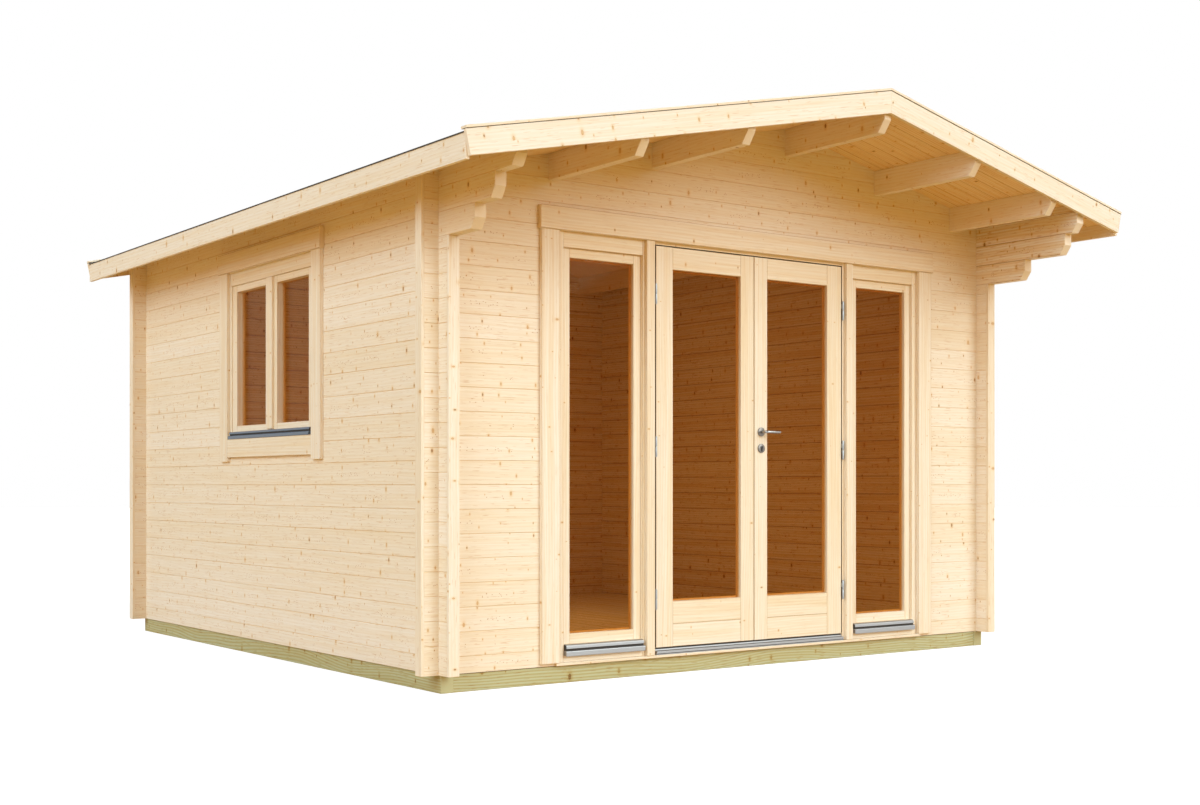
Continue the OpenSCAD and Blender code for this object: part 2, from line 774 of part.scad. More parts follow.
// Leaf outline with the glass opening, between x0 and x1
module leaf(x0, x1, left_stile, right_stile) {
  groove_z = leaf_z0 + rail_low / 2;
  difference() {
    ring_x([x0, leaf_z0], [x1, leaf_z1], [x0 + left_stile, leaf_z0 + rail_low],
           [x1 - right_stile, leaf_z1 - rail_top], 0, leaf_t);
    // joint between the two boards of the bottom rail
    for (y = [0, leaf_t])
      translate([x0 + left_stile, y, groove_z]) rotate([45, 0, 0])
        translate([0, -2.5, -2.5]) cube([x1 - x0 - left_stile - right_stile, 5, 5]);
  }
}

module left_door_leaf() color(wood) place()
  leaf(front_x - door_half, meet_x - meet_gap / 2, stile_out, stile_in);

module left_door_glass() color(pane) place()
  box([front_x - door_half + stile_out, glass_back, leaf_z0 + rail_low],
      [meet_x - meet_gap / 2 - stile_in, glass_back + glass_t, leaf_z1 - rail_top]);

// The right leaf, bored for the lever's spindle
module right_door_leaf() color(wood) place() difference() {
  leaf(meet_x + meet_gap / 2, front_x + door_half, stile_in, stile_out);
  translate([handle_x, -past, handle_z]) rotate([-90, 0, 0])
    cylinder(r = lever_bore_r, h = leaf_t + 2 * past);
}

module right_door_glass() color(pane) place()
  box([meet_x + meet_gap / 2 + stile_in, glass_back, leaf_z0 + rail_low],
      [front_x + door_half - stile_out, glass_back + glass_t, leaf_z1 - rail_top]);

// Round plates for the handle and the key, on both faces
module door_rosettes() color(metal) place()
  for (z = [handle_z, key_z]) for (s = [0, 1])
    translate([handle_x, s * leaf_t, z]) mirror([0, 1 - s, 0]) rotate([-90, 0, 0])
      difference() {
        cylinder(r = rose_r, h = rose_t);
        if (z == handle_z) translate([0, 0, -1]) cylinder(r = lever_bore_r, h = rose_t + 2);
        else translate([0, 0, rose_t - 2]) linear_extrude(4) union() {
          circle(r = 4.5);
          translate([-2, -11]) square([4, 11]);
        }
      }

// Outer and inner lever on one spindle through the leaf
module lever_handle() color(metal) place() translate([handle_x, leaf_t / 2, handle_z]) {
  for (s = [0, 1]) mirror([0, s, 0]) translate([0, -leaf_t / 2 - neck_l, 0]) {
    translate([0, neck_l - 1, 0]) rotate([90, 0, 0]) cylinder(r = neck_r, h = neck_l + 5);
    rotate([0, 90, 0]) cylinder(r = neck_r, h = lever_l);
  }
  translate([0, -leaf_t / 2 - 2, 0]) rotate([-90, 0, 0]) cylinder(r = spindle_r, h = leaf_t + 4);
}

foundation_side_beams();
foundation_end_beams();
floor_bearers();
floor_boards();
left_wall();
right_wall();
back_wall();
front_wall_left();
front_wall_right();
front_gable();
corner_boards();
ridge_purlin();
left_purlins();
right_purlins();
left_roof_boards();
right_roof_boards();
roof_insulation();
roofing_felt();
eave_fascias();
left_bargeboards();
right_bargeboards();
barge_caps();
door_frame();
door_threshold();
front_sill();
front_head_casing();
front_side_casings();
side_light_sashes();
fixed_glass();
drip_profiles();
window_frame();
window_sashes();
window_head_casing();
window_side_casings();
window_board();
window_cover_strip();
frame_hinges();
left_door_leaf();
left_door_glass();
left_leaf_hinges();
right_door_leaf();
right_door_glass();
right_leaf_hinges();
door_rosettes();
lever_handle();
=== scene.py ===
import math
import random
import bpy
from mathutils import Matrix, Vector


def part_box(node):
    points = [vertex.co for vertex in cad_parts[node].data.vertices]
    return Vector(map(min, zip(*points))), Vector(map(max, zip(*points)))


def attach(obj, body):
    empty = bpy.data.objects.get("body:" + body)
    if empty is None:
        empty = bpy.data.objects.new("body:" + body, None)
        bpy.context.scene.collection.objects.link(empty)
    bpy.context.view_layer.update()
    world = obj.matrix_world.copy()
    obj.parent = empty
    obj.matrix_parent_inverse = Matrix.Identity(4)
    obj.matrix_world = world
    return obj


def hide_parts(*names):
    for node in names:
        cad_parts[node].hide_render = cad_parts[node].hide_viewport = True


bl_info = {
    "name": "Garden Chalet",
    "version": (1, 0, 0),
    "blender": (4, 5, 0),
    "location": "View3D > Sidebar > Chalet",
    "description": "Timber, glass and metal of a log garden chalet, built around its fixed frame",
    "category": "Object",
}

import bmesh
import bpy
from bpy.props import FloatProperty, FloatVectorProperty, PointerProperty
from mathutils import Matrix, Vector

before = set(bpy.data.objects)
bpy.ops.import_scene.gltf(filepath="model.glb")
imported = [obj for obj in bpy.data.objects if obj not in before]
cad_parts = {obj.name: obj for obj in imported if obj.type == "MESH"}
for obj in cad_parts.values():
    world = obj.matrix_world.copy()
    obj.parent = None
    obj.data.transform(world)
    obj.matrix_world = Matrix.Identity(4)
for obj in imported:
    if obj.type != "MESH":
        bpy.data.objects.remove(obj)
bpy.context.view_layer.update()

X, Y, Z = Vector((1, 0, 0)), Vector((0, 1, 0)), Vector((0, 0, 1))
MM = 0.001
QUARTER = math.radians(90)

# Everything below is built in millimetres from the ground under the outer
# corner of the front and left walls, X to the right, Y to the back.
CORNER = Vector((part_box("left_wall")[0].x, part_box("front_wall_left")[0].y, 0))
PLACE = Matrix.Translation(CORNER) @ Matrix.Scale(MM, 4)


def span(node):
    """Lowest and highest corner of a frame node, in those millimetres."""
    return [(p - CORNER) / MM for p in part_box(node)]


def middle(node, axis):
    lo, hi = span(node)
    return (lo[axis] + hi[axis]) / 2


# Faces of the walls, the openings and the roof, read from the frame
BEAM_TOP, LOG_T = span("left_wall")[0].z, span("left_wall")[1].x
WALL_W, WALL_D = span("right_wall")[1].x, span("foundation_side_beams")[1].y
STUB, OPEN_R = -span("front_wall_left")[0].x, span("front_wall_right")[0].x
OPEN_L, _, OPEN_TOP = span("front_wall_left")[1]
EAVE_L, EAVE_R = (p.x for p in span("eave_fascias"))
VERGE_F, VERGE_B = (p.y for p in span("left_bargeboards"))
RIDGE_X, RIDGE_Z = middle("ridge_purlin", 0), span("ridge_purlin")[1].z
FRONT_X, WIN_Y = middle("front_head_casing", 0), middle("window_head_casing", 1)

# Corbels: the first log that stands out, how far the three do, and the slant under each
CORBEL_LOG = 17
LEFT_REACH, RIGHT_REACH = (318, 485, 654), (360, 640, 722)
CORBEL_RUN, CORBEL_RISE = 34, 50

# Joinery: distances sideways are from the middle of the doors or of the window
FRAME_T, LEAF_T, CASING_T, PANE_T = 62, 44, 20, 14
DOOR_HALF, DOOR_TOP = 661, 2183
SASH_IN, SASH_OUT, SASH_Z = 742, 1226, (186, 2120)
WIN_HALF, WIN_Z = 537, (1272, 2121)
WIN_PANE, WIN_PANE_Z = (76, 476), (1305, 2083)
CASING, POST_COVER, WIN_CASING = (1260, 1368), (678, 728), (557, 669)


# ---------------------------------------------------------------- sizes a user may change

def length(name, text, default):
    return FloatProperty(name=name, description=text, default=default, unit="LENGTH")


def angle(name, text, degrees):
    return FloatProperty(name=name, description=text, default=math.radians(degrees), subtype="ANGLE")


def colour(name, text, default):
    return FloatVectorProperty(name=name, description=text, default=default, subtype="COLOR")


def strength(name, text, default, unit="NONE"):
    return FloatProperty(name=name, description=text, default=default, min=0, unit=unit)


class ChaletLogSettings(bpy.types.PropertyGroup):
    log_height: length("Log height", "From joint to joint", 0.114)
    first_joint: length("First joint", "Height of the first joint over the ground", 0.165)
    right_shift: length("Right wall shift", "How far the right wall's joints lie higher", 0.057)
    chamfer: length("Log chamfer", "Chamfer on the long edges of a log", 0.0025)


class ChaletRoofSettings(bpy.types.PropertyGroup):
    left_pitch: angle("Left pitch", "Slope of the longer left roof side", 11.9)
    right_pitch: angle("Right pitch", "Slope of the right roof side", 12.8)
    board: length("Roof board", "Cover width of one roof board", 0.096)
    sheet: length("Felt sheet", "Visible width of one sheet of felt", 0.86)


class ChaletBoardSettings(bpy.types.PropertyGroup):
    edge: length("Board edge", "Rounding on the edges of planed boards", 0.002)
    floor_board: length("Floor board", "Cover width of one floor board", 0.112)


class ChaletColourSettings(bpy.types.PropertyGroup):
    log: colour("Logs", "Colour of the planed logs", (0.89, 0.765, 0.62))
    trim: colour("Trim", "Colour of casings and bargeboards", (0.89, 0.765, 0.62))
    boards: colour("Boards", "Colour of the roof boards", (0.95, 0.72, 0.42))
    joinery: colour("Joinery", "Colour of sashes, leaves and their frames", (0.89, 0.76, 0.60))
    treated: colour("Treated timber", "Colour of the foundation", (0.51, 0.495, 0.295))


class ChaletStageSettings(bpy.types.PropertyGroup):
    sky: strength("Sky", "Strength of the light from straight above", 0.06)
    horizon: strength("Horizon", "Strength of the light from the horizon", 0.82)
    front_lamp: strength("Front lamp", "Strength of the broad lamp in front", 2.43)
    back_light: strength("Back light", "Strength of the plain light from behind", 0.80)
    side_lamp: strength("Side lamp", "Strength of the broad lamp on the left", 1.99)
    room_lamp: strength("Room lamp", "Power of the warm lamp in the room", 13.0, "POWER")
    lamp_width: angle("Lamp width", "Angle that each lamp fills", 50)


def settings(name):
    return getattr(bpy.context.scene, "chalet_" + name)


def slope(side):
    roof = settings("roof")
    return math.tan(roof.left_pitch if side < 0 else roof.right_pitch)


def down_slope(side):
    return Vector((side, 0, -slope(side)))


def square_up(side):
    return Vector((side * slope(side), 0, 1))


def roof_under(x):
    """Height of the roof boards' underside over a place x."""
    return RIDGE_Z - abs(x - RIDGE_X) * slope(x - RIDGE_X)


# ---------------------------------------------------------------- timber in bmesh

class Timber:
    """Collects boards in one mesh, each with its own stretch of grain and its own tone."""

    def __init__(self, seed):
        self.mesh = bmesh.new()
        self.rng = random.Random(seed)
        self.part = bpy.data.meshes.new("part")

    def add(self, part, along, across):
        """Takes in a part, with the grain running along one direction."""
        shift = (self.rng.uniform(0, 40), self.rng.uniform(0, 40))
        tone = self.rng.random()
        part.transform(PLACE)
        bmesh.ops.recalc_face_normals(part, faces=part.faces)
        along, across = along.normalized(), across.normalized()
        thick = along.cross(across)
        grain = part.loops.layers.uv.verify()
        board = part.loops.layers.float_color.new("board")
        low_u, low_v, low_w = (min(v.co.dot(d) for v in part.verts) for d in (along, across, thick))
        wide = max(v.co.dot(across) for v in part.verts) - low_v
        deep = max(v.co.dot(thick) for v in part.verts) - low_w
        for face in part.faces:
            end = abs(face.normal.dot(along)) > 0.5
            edge = abs(face.normal.dot(across)) > 0.8
            for loop in face.loops:
                u, v, w = (loop.vert.co.dot(d) for d in (along, across, thick))
                u, v, w = u - low_u, v - low_v, w - low_w
                if end:
                    loop[grain].uv = (v, w)
                else:
                    loop[grain].uv = (u + shift[0], (w + 0.5 if edge else v) + shift[1])
                # The third channel is the place across the face, which the wood reads for its row of resin
                # dots and for the darker edge lines with their painted shade
                loop[board] = (tone, 1.0 if end else 0.0, w / deep if edge else v / wide, 1.0)
        part.to_mesh(self.part)
        self.mesh.from_mesh(self.part)
        part.free()

    def board(self, lo, hi, along, across, edge=None):
        """One planed board between two corners, with rounded edges."""
        edge = settings("board").edge / MM if edge is None else edge
        self.add(soften(block(lo, hi), edge), along, across)

    def finish(self, name, looks, slot, node, body="chalet"):
        bpy.data.meshes.remove(self.part)
        piece_from(self.mesh, name, looks, slot, body, node)

    def finish_wall(self, name, node):
        """Ends a wall of logs; the sides that face the room get a copy of the log wood with wider, darker
        joint lines as painted shade, and stronger grain.
        """
        inset = LOG_T - 9
        low = PLACE @ Vector((inset, inset, 0))
        high = PLACE @ Vector((WALL_W - inset, WALL_D - inset, 0))
        for face in self.mesh.faces:
            at = face.calc_center_median()
            if low.x < at.x < high.x and low.y < at.y < high.y:
                face.material_index = 1
        self.finish(name, ["log", "inside"], "spruce", node)


def boarding(seed, name, look, slot, node, boards, along, across, edge=None):
    """A piece of planed boards, each given by its two corners."""
    timber = Timber(seed)
    for lo, hi in boards:
        timber.board(lo, hi, along, across, edge)
    timber.finish(name, [look], slot, node)


def piece_from(mesh, name, looks, slot, body, *nodes):
    """Makes an object of a finished bmesh, riding on its body and standing for its nodes."""
    data = bpy.data.meshes.new(name)
    for edge in mesh.edges:
        edge.smooth = len(edge.link_faces) != 2 or edge.calc_face_angle(0) < math.radians(35)
    mesh.to_mesh(data)
    mesh.free()
    if data.uv_layers:
        data.uv_layers[0].name = "grain"
    for look in looks:
        data.materials.append(MATERIALS[look])
    piece = bpy.data.objects.new(name, data)
    bpy.context.scene.collection.objects.link(piece)
    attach(piece, body)
    if nodes:
        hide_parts(*nodes)


def merge(mesh, part, slot=0, smooth=False):
    """Adds a part in millimetres to a plain mesh, in one material slot."""
    part.transform(PLACE)
    bmesh.ops.recalc_face_normals(part, faces=part.faces)
    for face in part.faces:
        face.material_index = slot
        face.smooth = smooth
    holder = bpy.data.meshes.new("part")
    part.to_mesh(holder)
    mesh.from_mesh(holder)
    bpy.data.meshes.remove(holder)
    part.free()


def verts_of(geom):
    return [v for v in geom if isinstance(v, bmesh.types.BMVert)]


def edges_of(geom):
    return [e for e in geom if isinstance(e, bmesh.types.BMEdge)]


def prism(outline, axis, start, end):
    """A straight solid. The outline is (y, z) across X, (x, z) across Y or (x, y) across Z."""
    part = bmesh.new()
    corners = []
    for a, b in outline:
        place = [a, b]
        place.insert(axis, start)
        corners.append(part.verts.new(place))
    face = part.faces.new(corners)
    pushed = bmesh.ops.extrude_face_region(part, geom=[face])["geom"]
    step = Vector((0, 0, 0))
    step[axis] = end - start
    bmesh.ops.translate(part, vec=step, verts=verts_of(pushed))
    bmesh.ops.recalc_face_normals(part, faces=part.faces)
    return part


def block(lo, hi):
    """A box between two corners."""
    return prism([(lo[0], lo[1]), (hi[0], lo[1]), (hi[0], hi[1]), (lo[0], hi[1])], 2, lo[2], hi[2])


def round_bar(radius, depth, at, level=False):
    """A closed cylinder about its middle, upright or level from front to back."""
    part = bmesh.new()
    bmesh.ops.create_cone(part, cap_ends=True, segments=32, radius1=radius, radius2=radius, depth=depth)
    if level:
        turn_level(part, part.verts)
    bmesh.ops.translate(part, vec=at, verts=part.verts)
    return part


def turn_level(part, verts):
    bmesh.ops.rotate(part, cent=(0, 0, 0), matrix=Matrix.Rotation(QUARTER, 3, "X"), verts=verts)


def cut(part, at, normal):
    """Takes away what lies beyond a plane and closes the cut."""
    geom = part.verts[:] + part.edges[:] + part.faces[:]
    made = bmesh.ops.bisect_plane(part, geom=geom, plane_co=at, plane_no=normal,
                                  clear_outer=True, dist=1e-4)
    edges = edges_of(made["geom_cut"])
    if edges:
        bmesh.ops.holes_fill(part, edges=edges, sides=0)
    bmesh.ops.recalc_face_normals(part, faces=part.faces)
    return part


def under_roof(part):
    """Cuts a part off under both slopes."""
    for side in (-1, 1):
        cut(part, (RIDGE_X, 0, RIDGE_Z), square_up(side))
    return part


def soften(part, width, segments=2):
    """Rounds the sharp edges."""
    sharp = [e for e in part.edges
             if len(e.link_faces) == 2 and e.calc_face_angle(0) > math.radians(25)]
    bmesh.ops.bevel(part, geom=sharp, offset=width, offset_type="OFFSET", segments=segments,
                    profile=0.5, affect="EDGES", clamp_overlap=True, material=-1)
    return part


def pull(part, rim, step, shrink=1.0):
    """Extrudes a rim of edges by one step, and narrows it about its middle."""
    made = bmesh.ops.extrude_edge_only(part, edges=rim)["geom"]
    verts = verts_of(made)
    bmesh.ops.translate(part, vec=step, verts=verts)
    if shrink != 1.0:
        centre = sum((v.co for v in verts), Vector()) / len(verts)
        bmesh.ops.scale(part, vec=(1, shrink, shrink), space=Matrix.Translation(-centre), verts=verts)
    return edges_of(made)


def log_part(axis, start, end, depth, z0, z1, limit):
    """One log, chamfered at each joint; no joint lies at the beams or at the upper limit."""
    c = settings("log").chamfer / MM
    a = c if z0 > BEAM_TOP + 1 else 0
    b = c if z1 < limit - 1 else 0
    far = depth + LOG_T
    outline = [(depth + a, z0), (far - a, z0), (far, z0 + a), (far, z1 - b),
               (far - b, z1), (depth + b, z1), (depth, z1 - b), (depth, z0 + a)]
    return prism([p for i, p in enumerate(outline) if p != outline[i - 1]], axis, start, end)


def courses(z0, z1, shift=0.0):
    """Heights of the logs between z0 and z1: (low, high) from joint to joint."""
    log = settings("log")
    step, joint = log.log_height / MM, log.first_joint / MM + shift
    while joint - step > z0 + 20:
        joint -= step
    heights = [z0]
    while joint < z1 - 1:
        if joint > z0 + 1:
            heights.append(joint)
        joint += step
    return list(zip(heights, heights[1:] + [z1]))


# ---------------------------------------------------------------- materials

class Nodes:
    """Makes and links the nodes of one material or of the world."""

    def __init__(self, owner):
        owner.use_nodes = True
        self.tree = owner.node_tree
        self.tree.nodes.clear()

    def make(self, kind, **values):
        node = self.tree.nodes.new("ShaderNode" + kind)
        for key, value in values.items():
            setattr(node, key, value)
        return node

    def feed(self, socket, value):
        """Links a socket to another one, or sets its number, vector or colour."""
        if isinstance(value, bpy.types.NodeSocket):
            self.tree.links.new(value, socket)
        elif socket.type == "RGBA":
            socket.default_value = (*value, 1)
        else:
            socket.default_value = value

    def named(self, kind, inputs, **values):
        """A node with some inputs fed by name."""
        node = self.make(kind, **values)
        for name, value in inputs.items():
            self.feed(node.inputs[name], value)
        return node.outputs

    def fill(self, kind, *inputs, **values):
        """A node with its first inputs fed in order; gives its first output."""
        node = self.make(kind, **values)
        for socket, value in zip(node.inputs, inputs):
            self.feed(socket, value)
        return node.outputs[0]

    def calc(self, operation, *inputs, clamp=False):
        return self.fill("Math", *inputs, operation=operation, use_clamp=clamp)

    def vector(self, operation, a, b):
        return self.fill("VectorMath", a, b, operation=operation)

    def size_of(self, a):
        return self.named("VectorMath", {"Vector": a}, operation="LENGTH")["Value"]

    def split(self, colour):
        return self.named("SeparateColor", {"Color": colour})

    def places(self, where):
        return self.named("SeparateXYZ", {"Vector": where})

    def mix(self, kind, amount, a, b):
        node = self.make("Mix", data_type="RGBA", blend_type=kind)
        for socket, value in ((node.inputs[0], amount), (node.inputs[6], a), (node.inputs[7], b)):
            self.feed(socket, value)
        return node.outputs[2]

    def ramp(self, value, *stops):
        node = self.make("ValToRGB")
        self.feed(node.inputs[0], value)
        elements = node.color_ramp.elements
        while len(elements) < len(stops):
            elements.new(0.5)
        for element, (place, shade) in zip(elements, stops):
            element.position = place
            element.color = (*shade, 1) if isinstance(shade, tuple) else (shade, shade, shade, 1)
        return node.outputs[0]

    def noise(self, where, scale=1, detail=2, flat=True):
        return self.named("TexNoise", {"Vector": where, "Scale": scale, "Detail": detail},
                          noise_dimensions="2D" if flat else "3D")[0]

    def spots(self, where, cell, size):
        """One spot in each cell: the distance from it, 1 at its rim, and a random colour."""
        scaled = self.vector("DIVIDE", where, (*cell, 1))
        cells = self.named("TexVoronoi", {"Vector": scaled, "Scale": 1},
                           voronoi_dimensions="2D", feature="F1")
        away = self.vector("SUBTRACT", scaled, cells["Position"])
        away = self.vector("MULTIPLY", away, (cell[0] / size[0], cell[1] / size[1], 0))
        return self.size_of(away), cells["Color"]

    def ripple(self, value, period):
        """A wave between 0 and 1."""
        wave = self.calc("SINE", self.calc("MULTIPLY", value, 2 * math.pi / period))
        return self.calc("ADD", self.calc("MULTIPLY", wave, 0.5), 0.5)

    def bump(self, height, strength, distance):
        return self.named("Bump", {"Height": height, "Strength": strength, "Distance": distance})[0]

    def seen(self):
        """1 for what the camera sees, straight or in metal and glass."""
        path = self.make("LightPath").outputs
        mirrored = self.calc("MAXIMUM", path["Is Glossy Ray"], path["Is Transmission Ray"])
        return self.calc("MAXIMUM", path["Is Camera Ray"], mirrored)

    def output(self, shader, kind="OutputMaterial"):
        self.feed(self.make(kind).inputs[0], shader)

    def surface(self, values):
        """The main shader with some of its inputs, joined to the output."""
        self.output(self.named("BsdfPrincipled", values)[0])


def less(amount, tint):
    """White with some of a tint taken away."""
    return tuple(1 - amount * t for t in tint)


def times(colour, factors):
    return tuple(min(1, c * f) for c, f in zip(colour, factors))


def wood(name, colour, knots=0.7, streaks=0.05, rough=0.6, dots=0.0, seam_and_shade=0.0, size=1.0,
         seam_and_shade_colour=(0.62, 0.46, 0.29), period=0.017, bands=1.0, flecks=0.5, wave=0.05):
    """Planed softwood: soft bands, fine fibres, small knots, resin dots, sawn ends, and darker lines along
    the board edges, partly joint colour and partly painted shade.
    """
    material = bpy.data.materials.new(name)
    nodes = Nodes(material)
    calc, ramp, mix = nodes.calc, nodes.ramp, nodes.mix
    grain = nodes.make("UVMap", uv_map="grain").outputs[0]
    tone, end, place = nodes.split(nodes.make("Attribute", attribute_name="board").outputs["Color"])

    def noise(along, across, detail=2):
        return nodes.noise(nodes.vector("MULTIPLY", grain, (along, across, 1)), detail=detail)

    # Knots: one candidate in each cell of a stretched pattern, measured in metres
    reach, dice = nodes.spots(grain, (0.17, 0.06), (0.0040 * size, 0.0070 * size))
    missing, small, strong = nodes.split(dice)
    reach = calc("MULTIPLY", reach, calc("ADD", calc("MULTIPLY", small, 1.6), 0.55))
    reach = calc("ADD", reach, calc("MULTIPLY", nodes.noise(grain, 140, flat=False), 0.5))
    reach = calc("ADD", reach, calc("MULTIPLY", calc("GREATER_THAN", missing, knots), 50.0))
    spread = calc("DIVIDE", reach, 5.0, clamp=True)
    pale = ramp(spread, (0.0, (0.80, 0.57, 0.34)), (0.20, (0.80, 0.59, 0.36)), (0.28, (0.72, 0.50, 0.29)),
                (0.36, (0.95, 0.86, 0.72)), (0.70, (1.0, 0.98, 0.94)), (1.0, 1.0))
    dark = ramp(spread, (0.0, (0.42, 0.24, 0.12)), (0.18, (0.52, 0.32, 0.17)), (0.26, (0.36, 0.20, 0.10)),
                (0.34, (0.88, 0.74, 0.55)), (0.70, (1.0, 0.97, 0.92)), (1.0, 1.0))
    knot = mix("MIX", calc("GREATER_THAN", strong, 0.82), pale, dark)

    # Growth lines that bend a little and pass round the knots
    around = calc("DIVIDE", 0.006, calc("ADD", calc("POWER", reach, 2.0), 1.0))
    rings = calc("ADD", nodes.places(grain)[1], calc("MULTIPLY", noise(0.9, 3.0, 1), wave))
    rings = nodes.ripple(calc("ADD", rings, around), period)
    lines = ramp(rings, (0.0, less(streaks, (0.6, 1.2, 2.2))), (0.75, 1.0), (1.0, 1.0))

    # Soft bands, fine fibres and torn flecks
    soft = ramp(noise(0.8, 38.0), (0.34, less(bands, (0.03, 0.08, 0.17))), (0.56, 1.0))
    fibre = noise(4.0, 190.0, 4)
    fibres = ramp(fibre, (0.32, (0.96, 0.93, 0.88)), (0.56, 1.0))
    torn = ramp(noise(11.0, 210.0, 1), (0.70, 1.0), (0.74, less(flecks, (0.25, 0.5, 0.75))))
    warm = mix("MIX", tone, times(colour, (1.01, 1.02, 1.04)), times(colour, (0.98, 0.955, 0.90)))
    face = warm
    for layer in (lines, soft, fibres, torn, knot):
        face = mix("MULTIPLY", 1.0, face, layer)

    # A broken row of resin dots along the middle of each log
    if dots:
        off = nodes.spots(grain, (0.030, 0.012), (0.0030, 0.0020))[0]
        row = calc("LESS_THAN", calc("ABSOLUTE", calc("SUBTRACT", place, 0.46)), 0.10)
        row = calc("MULTIPLY", row, calc("GREATER_THAN", noise(5.0, 0.6), 0.54))
        row = calc("MULTIPLY", row, calc("LESS_THAN", off, 1.0))
        face = mix("MULTIPLY", calc("MULTIPLY", row, dots), face, (0.66, 0.45, 0.27))

    # A darker line along both edges of each board: partly the colour of the joint, partly painted shade in
    # the joint and at the board's edge
    if seam_and_shade:
        edge = calc("ABSOLUTE", calc("SUBTRACT", place, 0.5))
        face = mix("MULTIPLY", calc("GREATER_THAN", edge, 0.5 - seam_and_shade), face, seam_and_shade_colour)

    # Sawn ends: rings round a heart below the board
    heart = nodes.vector("SUBTRACT", grain, (0.03, -0.035, 0))
    ends = ramp(nodes.ripple(nodes.size_of(heart), 0.0042), (0.0, (0.93, 0.86, 0.76)),
                (1.0, (1.0, 0.98, 0.95)))
    nodes.surface({"Base Color": mix("MIX", end, face, mix("MULTIPLY", 1.0, warm, ends)),
                   "Roughness": rough, "Specular IOR Level": 0.3,
                   "Normal": nodes.bump(fibre, 0.10, 0.0004)})
    return material


def plain(name, colour, metallic=0.0, rough=0.5, grain=0.0):
    """One colour, with a fine unevenness in the surface where grain is above zero."""
    material = bpy.data.materials.new(name)
    nodes = Nodes(material)
    values = {"Base Color": colour, "Metallic": metallic, "Roughness": rough}
    if grain:
        specks = nodes.noise(nodes.make("TexCoord").outputs["Object"], 900, 3, flat=False)
        low, high = (times(colour, (factor,) * 3) for factor in (1 - grain, 1 + grain))
        values["Base Color"] = nodes.ramp(specks, (0.35, low), (0.7, high))
        values["Normal"] = nodes.bump(specks, 0.4, 0.0006)
    nodes.surface(values)
    return material


def glass():
    """Faintly bronze clear glass: what is behind it, and a light reflection."""
    material = bpy.data.materials.new("glass_clear")
    nodes = Nodes(material)
    camera = nodes.make("LightPath").outputs["Is Camera Ray"]
    clear = nodes.fill("BsdfTransparent",
                       nodes.mix("MIX", camera, (0.92, 0.78, 0.58), (0.97, 0.91, 0.81)))
    mirror = nodes.named("BsdfGlossy", {"Roughness": 0.02})[0]
    slant = nodes.named("LayerWeight", {"Blend": 0.5})["Facing"]
    shine = nodes.calc("MULTIPLY", nodes.calc("POWER", slant, 5.0), 0.25)
    nodes.output(nodes.fill("MixShader", nodes.calc("ADD", shine, 0.002), clear, mirror))
    return material


MATERIALS = {}


def make_materials():
    chosen = settings("colour")
    MATERIALS.update(
        # The seam values darken the board edges: partly joint colour, partly painted shade
        log=wood("spruce_logs", chosen.log, knots=0.8, streaks=0.035, dots=0.9, seam_and_shade=0.012, size=0.65,
                 seam_and_shade_colour=(0.90, 0.77, 0.58), bands=0.6),
        # The room side: the same logs, with wider and darker joint lines as painted shade, and stronger
        # grain
        inside=wood("spruce_logs_inside_joint_shade", chosen.log, knots=0.9, streaks=0.12, dots=1.0, seam_and_shade=0.024,
                    size=0.8, seam_and_shade_colour=(0.70, 0.55, 0.41), bands=2.0, flecks=1.0),
        boards=wood("spruce_boards", chosen.boards, knots=0.6, streaks=0.12, seam_and_shade=0.02, size=0.7,
                    bands=1.4),
        floor=wood("floor_boards", (0.97, 0.97, 1.0), knots=0.6, streaks=0.27, seam_and_shade=0.03, size=0.7,
                   period=0.034, bands=2.0),
        trim=wood("spruce_trim", chosen.trim, knots=0.6, streaks=0.04, size=0.8, bands=0.7),
        casing=wood("spruce_casing", chosen.trim, knots=0.45, seam_and_shade=0.022, size=0.5, flecks=0.25),
        joinery=wood("joinery", chosen.joinery, knots=0.25, size=0.45, seam_and_shade=0.018, flecks=0.2),
        treated=wood("treated_timber", chosen.treated, knots=0.5, streaks=0.22, rough=0.75, period=0.014,
                     wave=0.11, flecks=0.8),
        insulation=plain("insulation", (0.62, 0.58, 0.48), rough=0.9),
        felt=plain("roofing_felt", (0.050, 0.036, 0.026), rough=0.95, grain=0.4),
        aluminium=plain("aluminium", (0.34, 0.312, 0.288), metallic=1.0, rough=0.42),
        steel=plain("steel", (0.33, 0.29, 0.255), metallic=1.0, rough=0.22),
        plate=plain("plate_steel", (0.21, 0.175, 0.145), metallic=1.0, rough=0.3),
        lock=plain("lock_steel", (0.06, 0.05, 0.042), metallic=1.0, rough=0.4),
        zinc=plain("zinc", (0.38, 0.37, 0.35), metallic=1.0, rough=0.45),
        # Near black, for seals and for the thin dark pieces that paint shade in gaps, slots and under the
        # walls
        seal=plain("dark_seal", (0.035, 0.024, 0.016), rough=0.8),
        slate=plain("grey_coated_metal", (0.10, 0.13, 0.17), rough=0.35),
        glass=glass())


# ---------------------------------------------------------------- base and floor

